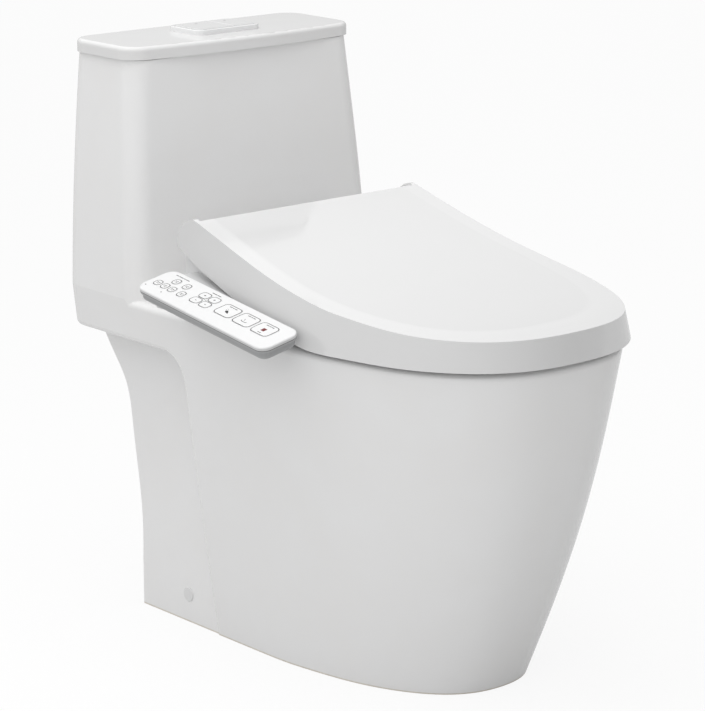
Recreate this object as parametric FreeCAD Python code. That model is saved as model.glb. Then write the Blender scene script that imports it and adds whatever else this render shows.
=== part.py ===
import FreeCAD, Part
import math
import os

# One-piece skirted toilet with a heated bidet seat, in millimetres.
# The origin is the centre of the floor outlet, on the floor. The user faces -Y, the tank stands at +Y.

# China body, outside
WALL = 11.0
RIM_Z = 400.0
SHOULDER_Z = 348.0
TANK_BACK_Y = 295.0
BACK_TRIM = 0.5
TANK_TOP_Z = 679.0
TANK_CORNER_R = 27.0
TANK_HALF_MID = 178.5
TANK_HALF_TOP = 167.0
TANK_FRONT_LOW_Y = 148.0
TANK_FRONT_MID_Y = 158.0
TANK_FRONT_TOP_Y = 170.0
BASE_HALF = 134.5
BASE_FRONT_Y = -281.0
BASE_BACK_Y = 215.5
RIM_HALF = 185.0
RIM_FRONT_Y = -389.0
RIM_WIDEST_Y = -88.0
LOW_BULGE = 0.96
RECESS_FRONT_Y = 77.0
RECESS_CORNER_R = 34.0
PEDESTAL_HALF = 132.5
SOFT_EDGE_R = 8.0

# China body, inside
BASIN_HALF = 122.0
BASIN_FRONT_Y = -346.0
BASIN_REAR_Y = -38.0
SUMP_Z = 152.0
SUMP_HALF = 42.0
SUMP_Y = -128.0
TRAP_R = 27.0
TRAP_MOUTH_Z = 182.0
TRAP_CREST_Y = 62.0
TRAP_CREST_Z = 284.0
TRAP_BEND_R = 40.0
TRAP_END_Z = 46.0
TANK_FLOOR_Z = 376.0
FLUSH_CHANNEL_HALF = 26.0
FLUSH_CHANNEL_H = 20.0
HOLLOW_TOP_Z = 384.0
TANK_UNDERSIDE_Z = 352.0

# Floor outlet, floor fixings and supply
WASTE_PIPE_R = 55.0
WASTE_SOCKET_L = 30.0
CONNECTOR_WALL = 4.0
SLEEVE_L = 30.0
FLOOR_BOLT_HOLE_R = 4.5
SIDE_SCREW_Z = 35.0
SIDE_SCREW_Y = 125.0
SIDE_SCREW_R = 3.0
CAP_R = 9.0
CAP_T = 3.0
SUPPLY_X = 147.0
SUPPLY_Y = 222.0
SHANK_R = 9.5
SHANK_L = 62.0
SHANK_FREE_L = 22.0

# Tank lid and flush buttons
TANK_LID_HALF = 171.0
TANK_LID_DEPTH = 126.0
TANK_LID_BOW = 7.0
TANK_LID_T = 16.0
TANK_LID_R = 28.0
LID_SEAM = 0.8
BEZEL_Y = 231.0
BEZEL_W = 98.0
BEZEL_D = 62.0
BEZEL_T = 6.0
BEZEL_R = 12.0
BEZEL_FRAME = 5.0
BEZEL_WALL = 2.0
BEZEL_WELL = 8.0
BEZEL_STEM_R = 25.0
BUTTON_ROD_R = 3.0
BUTTON_TRAVEL = 6.0
BUTTON_GAP = 0.6
FULL_SHARE = 0.6

# Flush valve and fill valve
VALVE_Y = 238.0
VALVE_HOLE_R = 33.0
VALVE_FLANGE_R = 42.0
VALVE_BASKET_R = 35.0
VALVE_COLUMN_R = 19.0
VALVE_SKIN = 2.5
VALVE_HEAD_Z = TANK_TOP_Z - 89.0
VALVE_HEAD_T = 24.0
GASKET_T = 3.0
TUBE_R = 13.0
TUBE_TOP_Z = TANK_TOP_Z - 37.0
SEAL_R = 29.0
SEAL_T = 4.0
SLIDING_GAP = 0.4
PLUNGER_R = 4.0
PLUNGER_X = 14.0
PLUNGER_FORWARD = 19.0
PLUNGER_TOP_Z = TANK_TOP_Z - 43.0
TOWER_R = 11.0
TOWER_TOP_Z = TANK_TOP_Z - 69.0
FLOAT_W = 44.0
FLOAT_D = 44.0
FLOAT_H = 66.0
FLOAT_Z = TOWER_TOP_Z - 102.0

# Seat lid
LID_HALF = 189.7
LID_FRONT_Y = -397.0
LID_WIDEST_Y = -118.0
LID_SKIRT_Z = 404.0
LID_FRONT_Z = 437.5
LID_REAR_HALF = 175.7
LID_DRAFT = 0.2
LID_SKIN = 3.6
LID_EDGE_R = 4.0
LID_OVERHANG = 16.7

# Hinge line of seat and lid
HINGE_Y = 58.0
HINGE_Z = 482.0
BARREL_R = 25.0
BARREL_GAP = 0.6
HINGE_PIN_R = 5.0
PIN_CLEARANCE = 0.06
KNUCKLE_R = 14.0
SEAT_EAR_X = 139.0
SEAT_EAR_W = 9.0
LID_EAR_W = 8.0
EAR_GAP = 0.6
LID_TRIM = 4.0
BARREL_END_X = 138.0

# Seat ring
SEAT_HALF = LID_HALF - LID_OVERHANG
SEAT_FRONT_Y = -386.0
SEAT_REAR_Y = -34.0
SEAT_BOTTOM_Z = 404.5
SEAT_FRONT_TOP_Z = 425.0
SEAT_REAR_TOP_Z = 440.0
SEAT_OPEN_HALF = 103.0
SEAT_OPEN_FRONT_Y = -322.0
SEAT_OPEN_REAR_Y = -62.0
SEAT_SEAM_Z = 411.0
HEATER_T = 0.8
SEAT_EDGE_R = 7.0
BUMPER_R = 9.0
BUMPER_X = 50.0
BUMPER_Y = -352.0
BUMPER_CLEAR = 0.3

# Bidet base unit
UNIT_HALF = 162.0
UNIT_FRONT_Y = -30.0
UNIT_FRONT_Z = 462.0
UNIT_SKIN = 3.0
END_WALL = 2.5
TRAY_Z = 401.0
TRAY_T = 11.0
PLATE_HALF = 100.0
PLATE_T = 5.0
PLATE_FRONT_Y = -14.0
PLATE_REAR_Y = 62.0
SLIDE_GAP = 0.5
SEAT_BOLT_X = 77.5
SEAT_BOLT_Y = 22.0
SEAT_HOLE_R = 8.0
SEAT_HOLE_DEPTH = 44.0
SEAT_BOLT_R = 4.0
BOARD_Z = 420.0
INLET_Y = 65.0
INLET_Z = 432.0
INLET_R = 10.4
INLET_L = 16.0
GLAND_X = 60.0
GLAND_R = 7.0

# Nozzles
NOZZLE_R = 5.5
NOZZLE_X = 8.5
NOZZLE_SLOPE = 25.0
NOZZLE_L = 92.0
NOZZLE_TIP_Y = -28.0
NOZZLE_TIP_Z = 414.0

# Control panel at the user's right hand
PANEL_X = -221.0
PANEL_Y = -48.5
PANEL_Z = 435.0
PANEL_L = 230.0
PANEL_W = 55.0
PANEL_SLOPE = 7.8
PANEL_TILT = 12.5
PANEL_R = 13.0
FASCIA_T = 7.0
PANEL_TRAY_T = 10.0
PANEL_TRAY_INSET = 2.5
KEY_GAP = 0.35
KEY_PROUD = 0.25
KEY_T = 3.0
KEY_TRAVEL = 0.8
FASCIA_SKIN = 2.2
ARM_FRONT_Y = -20.0
ARM_TOP_Z = 436.0
ARM_T = 20.0

HINGE = FreeCAD.Vector(0, HINGE_Y, HINGE_Z)
X_AXIS = FreeCAD.Vector(1, 0, 0)
Y_AXIS = FreeCAD.Vector(0, 1, 0)
Z_AXIS = FreeCAD.Vector(0, 0, 1)


def point(x, y, z):
    return FreeCAD.Vector(x, y, z)


def box(x0, x1, y0, y1, z0, z1):
    return Part.makeBox(x1 - x0, y1 - y0, z1 - z0, point(x0, y0, z0))


def rod(radius, start, direction, length):
    return Part.makeCylinder(radius, length, start, direction)


def tube(outer, inner, start, direction, length):
    return rod(outer, start, direction, length).cut(rod(inner, start, direction, length))


def side_prism(points, x0, x1):
    """A closed outline in the side view, drawn out along X."""
    corners = [point(x0, y, z) for y, z in points]
    face = Part.Face(Part.makePolygon(corners + corners[:1]))
    return face.extrude(point(x1 - x0, 0, 0))


def rounded_plate(x0, x1, y0, y1, z0, z1, radius):
    """A plate with its four upright edges rounded."""
    plate = box(x0, x1, y0, y1, z0, z1)
    upright = [e for e in plate.Edges if abs(e.tangentAt(e.FirstParameter).z) > 0.99]
    return plate.makeFillet(radius, upright)


def mirrored(shape):
    return shape.mirror(point(0, 0, 0), X_AXIS)


def pair(shape):
    return Part.makeCompound([shape, mirrored(shape)])


def oval_front(half, widest_y, front_y, power, z, count=13):
    """The rounded front of a bowl or seat outline, from the right side round to the left."""
    points = []
    for i in range(count):
        turn = math.pi * i / (count - 1)
        c, s = math.cos(turn), max(math.sin(turn), 0.0)
        x = half * math.copysign(abs(c) ** (2 / power), c)
        y = widest_y - (widest_y - front_y) * s ** (2 / power)
        points.append(point(x, y, z))
    curve = Part.BSplineCurve()
    curve.interpolate(Points=points, InitialTangent=point(0, -1, 0), FinalTangent=point(0, 1, 0))
    return curve.toShape()


def bowl_outline(half, widest_y, front_y, rear_y, corner, power, z):
    """A D-shaped outline: rounded front, straight sides and a square back with rounded corners."""
    front = oval_front(half, widest_y, front_y, power, z)
    side_y = rear_y - corner
    dip = corner * (1 - math.sqrt(0.5))
    left = Part.makeLine(point(-half, widest_y, z), point(-half, side_y, z))
    left_arc = Part.Arc(point(-half, side_y, z), point(dip - half, rear_y - dip, z),
                        point(corner - half, rear_y, z)).toShape()
    back = Part.makeLine(point(corner - half, rear_y, z), point(half - corner, rear_y, z))
    right_arc = Part.Arc(point(half - corner, rear_y, z), point(half - dip, rear_y - dip, z),
                         point(half, side_y, z)).toShape()
    right = Part.makeLine(point(half, side_y, z), point(half, widest_y, z))
    return Part.Wire([front, left, left_arc, back, right_arc, right])


def oval(half, front_y, rear_y, z):
    """A closed oval, twice as many millimetres wide as its half width."""
    middle = (front_y + rear_y) / 2
    reach = (rear_y - front_y) / 2
    ellipse = Part.Ellipse(point(0, middle + reach, z), point(half, middle, z), point(0, middle, z))
    if half > reach:
        ellipse = Part.Ellipse(point(half, middle, z), point(0, middle + reach, z), point(0, middle, z))
    return Part.Wire(ellipse.toShape())


# ---------------------------------------------------------------- china body

def body_sections(inset, z_low, z_high):
    """Plan outlines of the skirt and bowl from the floor up to the rim, drawn in by a wall."""
    sections = []
    for step in range(5):
        share = step / 4
        z = z_low + (z_high - z_low) * share
        grow = (1 - LOW_BULGE) * math.sin(math.pi * share)
        half = BASE_HALF + (RIM_HALF - BASE_HALF) * (share + 0.6 * grow)
        front = BASE_FRONT_Y + (RIM_FRONT_Y - BASE_FRONT_Y) * (share + 4.2 * grow)
        widest = 2 + (RIM_WIDEST_Y - 2) * share
        power = 2.33 + 0.27 * share
        sections.append(bowl_outline(half - inset, widest, front + inset,
                                     TANK_BACK_Y + BACK_TRIM - inset, TANK_CORNER_R, power, z))
    return sections


def pedestal_profile():
    """Side outline of the recessed rear pedestal, coved up to the tank's underside."""
    top_z = SHOULDER_Z - 1
    back = BASE_BACK_Y
    rear_top = TANK_BACK_Y - 1
    curve = Part.BSplineCurve()
    curve.interpolate(Points=[point(0, rear_top, top_z), point(0, rear_top - 29, top_z - 41),
                              point(0, back + 30, top_z - 67), point(0, back + 15, SHOULDER_Z / 3 + 102),
                              point(0, back + 1.5, SHOULDER_Z / 3 + 14), point(0, back, 60)])
    return curve


def rear_cut():
    """What lies behind the pedestal, below the tank."""
    curve = pedestal_profile()
    start, end = curve.StartPoint, curve.EndPoint
    far = TANK_BACK_Y + 40
    edges = [curve.toShape(),
             Part.makeLine(end, point(0, BASE_BACK_Y, -10)),
             Part.makeLine(point(0, BASE_BACK_Y, -10), point(0, far, -10)),
             Part.makeLine(point(0, far, -10), point(0, far, start.z)),
             Part.makeLine(point(0, far, start.z), start)]
    face = Part.Face(Part.Wire(edges))
    face.translate(point(-RIM_HALF - 20, 0, 0))
    return face.extrude(point(2 * RIM_HALF + 40, 0, 0))


def shoulder_recess():
    """The step in the side, below the tank's shoulder and behind the bowl."""
    far = TANK_BACK_Y + 40
    block = side_prism([(RECESS_FRONT_Y - 7, -10), (far, -10), (far, SHOULDER_Z),
                        (RECESS_FRONT_Y, SHOULDER_Z)], PEDESTAL_HALF, RIM_HALF + 40)
    corner = [e for e in block.Edges
              if abs(e.tangentAt(e.FirstParameter).x) > 0.99
              and abs(e.CenterOfMass.y - RECESS_FRONT_Y) < 1 and e.CenterOfMass.z > SHOULDER_Z - 1]
    return block.makeFillet(RECESS_CORNER_R, corner)


def tank_solid(inset, z_low, z_high):
    """Tank walls: a little narrower and shallower towards the top."""
    sections = []
    levels = ((0.0, RIM_HALF, TANK_FRONT_LOW_Y), (0.36, RIM_HALF - 4.0, TANK_FRONT_LOW_Y + 7),
              (0.68, TANK_HALF_MID - 3.5, TANK_FRONT_MID_Y + 5), (1.0, TANK_HALF_TOP, TANK_FRONT_TOP_Y))
    for share, half, front in levels:
        z = z_low + (z_high - z_low) * share
        corner = TANK_CORNER_R - inset
        wide = half - inset
        back = TANK_BACK_Y + BACK_TRIM - inset
        plate = rounded_plate(-wide, wide, front + inset, back, z, z + 1, corner)
        bottom = min(plate.Faces, key=lambda f: f.CenterOfMass.z)
        sections.append(bottom.OuterWire)
    return Part.makeLoft(sections, True, False)


def basin_solid(grow, top_z):
    """The inside of the bowl, or its outside when grown by the wall."""
    depth = RIM_Z - SUMP_Z
    levels = ((0.0, 0.0, 0.0, 0.0), (0.3, 0.03, 10, -6), (0.62, 0.30, 46, -30), (0.86, 0.56, 92, -62))
    sections = []
    for down, narrow, front_in, rear_in in levels:
        z = RIM_Z - depth * down
        sections.append(oval(BASIN_HALF * (1 - narrow) + grow, BASIN_FRONT_Y + front_in * 1.35 - grow,
                             BASIN_REAR_Y + rear_in * 0.6 + grow, z))
    sections.append(oval(SUMP_HALF + grow, SUMP_Y - 52 - grow, SUMP_Y + 42 + grow, SUMP_Z - grow))
    bowl = Part.makeLoft(sections, True, False)
    if top_z > RIM_Z:
        mouth = Part.Face(oval(BASIN_HALF + grow, BASIN_FRONT_Y - grow, BASIN_REAR_Y + grow, RIM_Z))
        bowl = bowl.fuse(mouth.extrude(point(0, 0, top_z - RIM_Z)))
    return bowl


def trap_route():
    """Centre line of the trapway: out of the sump, over the crest and down to the floor outlet."""
    corners = [(SUMP_Y - 6, TRAP_MOUTH_Z - 6), (SUMP_Y + 40, TRAP_MOUTH_Z), (-2, TRAP_CREST_Z),
               (TRAP_CREST_Y, TRAP_CREST_Z), (TRAP_CREST_Y, TRAP_CREST_Z - 88), (0, TRAP_END_Z + 76),
               (0, TRAP_END_Z)]
    return [point(0, y, z) for y, z in corners]


def route_wire(corners, radius):
    """Straight runs joined by tangent arcs."""
    edges = []
    start = corners[0]
    for before, here, after in zip(corners, corners[1:], corners[2:]):
        came = (here - before).normalize()
        goes = (after - here).normalize()
        turn = came.getAngle(goes)
        back = radius * math.tan(turn / 2)
        first = here - came * back
        last = here + goes * back
        middle = (first + last) * 0.5
        inward = (middle - here).normalize()
        bulge = radius / math.cos(turn / 2) - radius
        edges.append(Part.makeLine(start, first))
        edges.append(Part.Arc(first, here + inward * bulge, last).toShape())
        start = last
    edges.append(Part.makeLine(start, corners[-1]))
    return Part.Wire(edges)


def trap_passage():
    """The round way through the trap, run on below the outlet's end."""
    corners = trap_route()
    corners[-1] = corners[-1] - Z_AXIS * 20
    along = (corners[1] - corners[0]).normalize()
    ring = Part.Wire(Part.makeCircle(TRAP_R, corners[0], along))
    return route_wire(corners, TRAP_BEND_R).makePipeShell([ring], True, False)


def trap_casing():
    """The trapway's flat-sided outside, with a round end that the outlet connector slips over."""
    corners = trap_route()
    corners[-1] = corners[-1] + Z_AXIS * (SLEEVE_L + 2)
    half = TRAP_R + WALL
    along = (corners[1] - corners[0]).normalize()
    across = X_AXIS * half
    up = X_AXIS.cross(along) * half
    square = [corners[0] - across - up, corners[0] + across - up, corners[0] + across + up,
              corners[0] - across + up]
    outline = Part.makePolygon(square + square[:1])
    casing = route_wire(corners, TRAP_BEND_R).makePipeShell([outline], True, False)
    casing = casing.cut(box(-half - 1, half + 1, SUMP_Y - 60, SUMP_Y + 50, 0, SUMP_Z - WALL))
    return casing.fuse(rod(half, point(0, 0, TRAP_END_Z), Z_AXIS, SLEEVE_L + 4))


def flush_duct(grow):
    """Channel from the valve's drop under the deck to the back of the bowl."""
    low = TANK_FLOOR_Z - 40
    half = FLUSH_CHANNEL_HALF + grow
    return box(-half, half, BASIN_REAR_Y - 14 - grow, VALVE_Y, low - grow, low + FLUSH_CHANNEL_H + grow)


def hollow_front():
    """Room inside the front of the skirt, from the floor up to the underside of the rim."""
    rear = RECESS_FRONT_Y - 8
    levels = ((-1, BASE_HALF, 0, BASE_FRONT_Y, 2.3), (160, BASE_HALF + 10, -34, BASE_FRONT_Y - 58, 2.4),
              (300, BASE_HALF + 33, -56, RIM_FRONT_Y + 24, 2.5),
              (HOLLOW_TOP_Z, RIM_HALF - 4, RIM_WIDEST_Y + 10, RIM_FRONT_Y + 5, 2.55))
    sections = [bowl_outline(half - WALL, widest, front + WALL, rear, 12, power, z)
                for z, half, widest, front, power in levels]
    return Part.makeLoft(sections, True, False)


def skirt_hollow():
    """The open room inside the skirt, reached from the floor; ducts and bolt bosses stay solid."""
    front_y = RECESS_FRONT_Y - 30
    back = BASE_BACK_Y - WALL
    half = PEDESTAL_HALF - WALL
    rear = side_prism([(front_y, -1), (back, -1), (back, 130), (back + 15, 250), (back + 26, 284),
                       (back + 36, 310), (back + 57, TANK_UNDERSIDE_Z), (150, TANK_UNDERSIDE_Z),
                       (140, HOLLOW_TOP_Z), (front_y, HOLLOW_TOP_Z)], -half, half)
    room = hollow_front().fuse(rear)
    room = room.cut(flush_duct(WALL))
    boss_z = TANK_FLOOR_Z - 40 - WALL
    room = room.cut(rod(VALVE_HOLE_R + WALL, point(0, VALVE_Y, boss_z), Z_AXIS, 60))
    for side in (-1, 1):
        foot = point(side * SEAT_BOLT_X, SEAT_BOLT_Y, RIM_Z - SEAT_HOLE_DEPTH - WALL)
        room = room.cut(rod(SEAT_HOLE_R + WALL, foot, Z_AXIS, SEAT_HOLE_DEPTH + WALL))
    return room


def soft_edges(shape):
    """The rim's outer edge, the shoulder's lower edges and the upright step beside the bowl."""
    chosen = []
    for edge in shape.Edges:
        room = edge.BoundBox
        side = min(abs(room.XMin), abs(room.XMax))
        level = room.ZLength < 0.1
        rim = level and abs(room.ZMin - RIM_Z) < 0.1 and room.YMin < RIM_WIDEST_Y + 1
        at_shoulder = level and abs(room.ZMin - SHOULDER_Z) < 0.1
        shoulder = at_shoulder and side > PEDESTAL_HALF + 14 and room.YLength > 20
        rear = at_shoulder and room.YMin > TANK_BACK_Y + BACK_TRIM - 1 and room.XLength < 60
        corner = not level and room.ZMax < SHOULDER_Z + 1 and room.YMax < RECESS_FRONT_Y + 40 and (
            side > PEDESTAL_HALF + 14 and room.ZMin > RECESS_CORNER_R and room.YLength > 20)
        if rim or shoulder or rear or corner:
            chosen.append(edge)
    return chosen


def china_outside():
    body = Part.makeLoft(body_sections(0, 0, RIM_Z), True, False)
    body = body.cut(rear_cut())
    recess = shoulder_recess()
    body = body.cut(recess).cut(mirrored(recess))
    tank = tank_solid(0, RIM_Z, TANK_TOP_Z)
    body = body.fuse(tank).removeSplitter()
    body = body.makeFillet(SOFT_EDGE_R, soft_edges(body))
    wide = RIM_HALF + 20
    return body.cut(box(-wide, wide, TANK_BACK_Y, TANK_BACK_Y + 20, -5, TANK_TOP_Z + 5))


def china_casting():
    """The whole casting: bowl, trapway, skirt, deck and tank in one."""
    china = china_outside()
    china = china.cut(skirt_hollow().cut(basin_solid(WALL, RIM_Z)).cut(trap_casing()))
    china = china.cut(basin_solid(0, RIM_Z + 40)).cut(trap_passage())
    china = china.cut(tank_solid(WALL, TANK_FLOOR_Z, TANK_TOP_Z + 1))
    china = china.cut(rod(VALVE_HOLE_R, point(0, VALVE_Y, TANK_FLOOR_Z - 40), Z_AXIS, 60))
    china = china.cut(flush_duct(0))
    china = china.cut(rod(SHANK_R + 1.5, point(SUPPLY_X, SUPPLY_Y, SHOULDER_Z - 20), Z_AXIS, 60))
    for side in (-1, 1):
        china = china.cut(rod(SEAT_HOLE_R, point(side * SEAT_BOLT_X, SEAT_BOLT_Y, RIM_Z - SEAT_HOLE_DEPTH),
                              Z_AXIS, SEAT_HOLE_DEPTH + 5))
        china = china.cut(rod(SIDE_SCREW_R + 1, point(0, SIDE_SCREW_Y, SIDE_SCREW_Z), X_AXIS * side, 160))
        china = china.cut(rod(CAP_R, point(side * (PEDESTAL_HALF - CAP_T), SIDE_SCREW_Y, SIDE_SCREW_Z),
                              X_AXIS * side, 20))
    return china


def in_blocks(shape, cutter):
    """The same clay as two touching blocks, so that each gets close collision pieces."""
    return Part.makeCompound(shape.common(cutter).Solids + shape.cut(cutter).Solids)


def china_parts():
    """The casting as it is put together from slip: body with trapway, bowl, rim with deck, and tank."""
    china = china_casting()
    wide = RIM_HALF + 20
    above = box(-wide, wide, TANK_FRONT_LOW_Y, TANK_BACK_Y + 20, TANK_FLOOR_Z, TANK_TOP_Z + 5)
    deck = box(-wide, wide, RIM_FRONT_Y - 20, TANK_FRONT_LOW_Y, HOLLOW_TOP_Z, RIM_Z + 5)
    tank = china.common(above)
    behind = box(-wide, wide, BASIN_REAR_Y, TANK_FRONT_LOW_Y, HOLLOW_TOP_Z, RIM_Z + 5)
    rim = in_blocks(china.common(deck), behind)
    lower = china.cut(above).cut(deck)
    bowl = basin_solid(WALL, RIM_Z)
    right = box(0, wide, RIM_FRONT_Y - 20, TANK_FRONT_LOW_Y, 0, RIM_Z + 5)
    basin = in_blocks(lower.common(bowl), right)
    lower = lower.cut(bowl)
    trap = trap_casing()
    body = Part.makeCompound(lower.cut(trap).Solids + lower.common(trap).Solids)
    return body, basin, rim, tank


# ---------------------------------------------------------------- floor fixings and trap outlet

def trap_outlet_connector():
    """Plastic socket for the waste pipe, with a sleeve up round the china trap's end."""
    sleeve_r = TRAP_R + WALL + SLIDING_GAP
    socket = tube(WASTE_PIPE_R + CONNECTOR_WALL, WASTE_PIPE_R, point(0, 0, 0), Z_AXIS, WASTE_SOCKET_L)
    ledge = tube(WASTE_PIPE_R + CONNECTOR_WALL, TRAP_R, point(0, 0, WASTE_SOCKET_L), Z_AXIS,
                 TRAP_END_Z - WASTE_SOCKET_L)
    sleeve = tube(sleeve_r + CONNECTOR_WALL, sleeve_r, point(0, 0, TRAP_END_Z), Z_AXIS, SLEEVE_L)
    return socket.fuse(ledge).fuse(sleeve).removeSplitter()


def floor_brackets():
    """An angle on each side: bolted to the floor, with an upright ear behind the side screw."""
    wall_x = PEDESTAL_HALF - WALL
    foot = box(wall_x - 34, wall_x, SIDE_SCREW_Y - 20, SIDE_SCREW_Y + 20, 0, 4)
    ear = box(wall_x - 4, wall_x, SIDE_SCREW_Y - 20, SIDE_SCREW_Y + 20, 0, SIDE_SCREW_Z + 14)
    foot = foot.cut(rod(FLOOR_BOLT_HOLE_R, point(wall_x - 19, SIDE_SCREW_Y, -1), Z_AXIS, 10))
    bracket = foot.fuse(ear)
    bracket = bracket.cut(rod(SIDE_SCREW_R, point(wall_x - 10, SIDE_SCREW_Y, SIDE_SCREW_Z), X_AXIS, 20))
    return pair(bracket)


def side_fixing_screws():
    wall_x = PEDESTAL_HALF - WALL
    seat_x = PEDESTAL_HALF - CAP_T
    screw = rod(SIDE_SCREW_R, point(wall_x - 8, SIDE_SCREW_Y, SIDE_SCREW_Z), X_AXIS, seat_x - wall_x + 8)
    return pair(screw)


def side_screw_caps():
    """Flat caps with a bevelled rim, pressed into the screw's counterbore."""
    cap = rod(CAP_R, point(PEDESTAL_HALF - CAP_T, SIDE_SCREW_Y, SIDE_SCREW_Z), X_AXIS, CAP_T + 1.5)
    rim = [e for e in cap.Edges if e.BoundBox.XMin > PEDESTAL_HALF + 1]
    return pair(cap.makeChamfer(0.8, rim))


# ---------------------------------------------------------------- tank lid and flush plate

def tank_lid_outline(inset, z):
    half = TANK_LID_HALF - inset
    back = TANK_BACK_Y - inset
    front = TANK_BACK_Y - TANK_LID_DEPTH + inset
    r = TANK_LID_R - inset
    dip = r * (1 - math.sqrt(0.5))
    edges = [
        Part.Arc(point(-half, back - r, z), point(dip - half, back - dip, z),
                 point(r - half, back, z)).toShape(),
        Part.makeLine(point(r - half, back, z), point(half - r, back, z)),
        Part.Arc(point(half - r, back, z), point(half - dip, back - dip, z),
                 point(half, back - r, z)).toShape(),
        Part.makeLine(point(half, back - r, z), point(half, front + r, z)),
        Part.Arc(point(half, front + r, z), point(half - dip, front + dip, z),
                 point(half - r, front, z)).toShape(),
        Part.Arc(point(half - r, front, z), point(0, front - TANK_LID_BOW, z),
                 point(r - half, front, z)).toShape(),
        Part.Arc(point(r - half, front, z), point(dip - half, front + dip, z),
                 point(-half, front + r, z)).toShape(),
        Part.makeLine(point(-half, front + r, z), point(-half, back - r, z)),
    ]
    return Part.Wire(edges)


def tank_lid():
    """China lid with a rolled top edge and a locating rib that drops inside the tank."""
    low = TANK_TOP_Z + LID_SEAM
    slab = Part.Face(tank_lid_outline(0, low)).extrude(Z_AXIS * (TANK_LID_T - LID_SEAM))
    top = [e for e in slab.Edges if e.BoundBox.ZMin > low + 1 and e.BoundBox.ZLength < 0.01]
    slab = slab.makeFillet(5.0, top)
    reach = TANK_HALF_TOP - WALL - 3
    front, back = TANK_FRONT_TOP_Y + WALL + 2, TANK_BACK_Y - WALL - 2
    rib = rounded_plate(-reach, reach, front, back, low - 9, low, TANK_CORNER_R - WALL - 2)
    rib = rib.cut(rounded_plate(-reach + 8, reach - 8, front + 8, back - 8, low - 10, low, 6))
    pads = box(-reach - 6, reach + 6, front + 30, back - 30, TANK_TOP_Z + BUMPER_CLEAR, low)
    lid = slab.fuse(rib).fuse(pads.cut(box(-reach, reach, front, back, low - 5, low + 1)))
    top = TANK_TOP_Z + TANK_LID_T
    pocket = bezel_plate(BEZEL_FRAME - BEZEL_WALL - SLIDING_GAP, top - BEZEL_WELL - SLIDING_GAP, top + 5,
                         BEZEL_R - BEZEL_FRAME + BEZEL_WALL + SLIDING_GAP)
    lid = lid.cut(pocket)
    return lid.cut(rod(BEZEL_STEM_R + 1, point(0, BEZEL_Y, low - 10), Z_AXIS, 40)).removeSplitter()


def bezel_plate(grow, z0, z1, radius):
    return rounded_plate(-BEZEL_W / 2 + grow, BEZEL_W / 2 - grow, BEZEL_Y - BEZEL_D / 2 + grow,
                         BEZEL_Y + BEZEL_D / 2 - grow, z0, z1, radius)


def flush_bezel():
    """Raised frame round the two buttons, with a well let into the lid and a threaded stem below."""
    top = TANK_TOP_Z + TANK_LID_T
    frame = bezel_plate(0, top, top + BEZEL_T, BEZEL_R)
    upper = [e for e in frame.Edges if e.BoundBox.ZMin > top + BEZEL_T - 0.1]
    frame = frame.makeFillet(1.2, upper)
    frame = frame.fuse(bezel_plate(BEZEL_FRAME - BEZEL_WALL, top - BEZEL_WELL, top + 1,
                                   BEZEL_R - BEZEL_FRAME + BEZEL_WALL))
    frame = frame.cut(bezel_plate(BEZEL_FRAME, top - BEZEL_WELL + BEZEL_WALL, top + BEZEL_T + 1,
                                  BEZEL_R - BEZEL_FRAME))
    stem = rod(BEZEL_STEM_R, point(0, BEZEL_Y, TANK_TOP_Z - 9), Z_AXIS, TANK_LID_T + 10 - BEZEL_WELL)
    throat = rod(BEZEL_STEM_R - 3, point(0, BEZEL_Y, TANK_TOP_Z - 10), Z_AXIS, TANK_LID_T + 14)
    return frame.fuse(stem).cut(throat)


def bezel_nut():
    low = TANK_TOP_Z + LID_SEAM
    return tube(BEZEL_STEM_R + 6, BEZEL_STEM_R + 0.1, point(0, BEZEL_Y, low - 7), Z_AXIS, 7)


def flush_button(side):
    """One half of the split button; the large one on the left flushes fully."""
    top = TANK_TOP_Z + TANK_LID_T + BEZEL_T
    inner = BEZEL_FRAME + BUTTON_GAP
    whole = bezel_plate(inner, top - 3, top + 0.6, BEZEL_R - inner)
    split_x = -BEZEL_W / 2 + BEZEL_W * FULL_SHARE
    y0, y1 = BEZEL_Y - BEZEL_D, BEZEL_Y + BEZEL_D
    if side < 0:
        half = whole.common(box(-BEZEL_W, split_x - BUTTON_GAP / 2, y0, y1, top - 10, top + 10))
    else:
        half = whole.common(box(split_x + BUTTON_GAP / 2, BEZEL_W, y0, y1, top - 10, top + 10))
    rim = [e for e in half.Edges if e.BoundBox.ZMin > top + 0.5]
    half = half.makeFillet(0.4, rim)
    stem = rod(BUTTON_ROD_R, point(side * PLUNGER_X, VALVE_Y - PLUNGER_FORWARD, PLUNGER_TOP_Z + 0.3),
               Z_AXIS, top - 1 - PLUNGER_TOP_Z - 0.3)
    return half.fuse(stem)


# ---------------------------------------------------------------- flush valve and fill valve

def flush_valve_gasket():
    return tube(VALVE_FLANGE_R, VALVE_HOLE_R, point(0, VALVE_Y, TANK_FLOOR_Z), Z_AXIS, GASKET_T)


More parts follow.
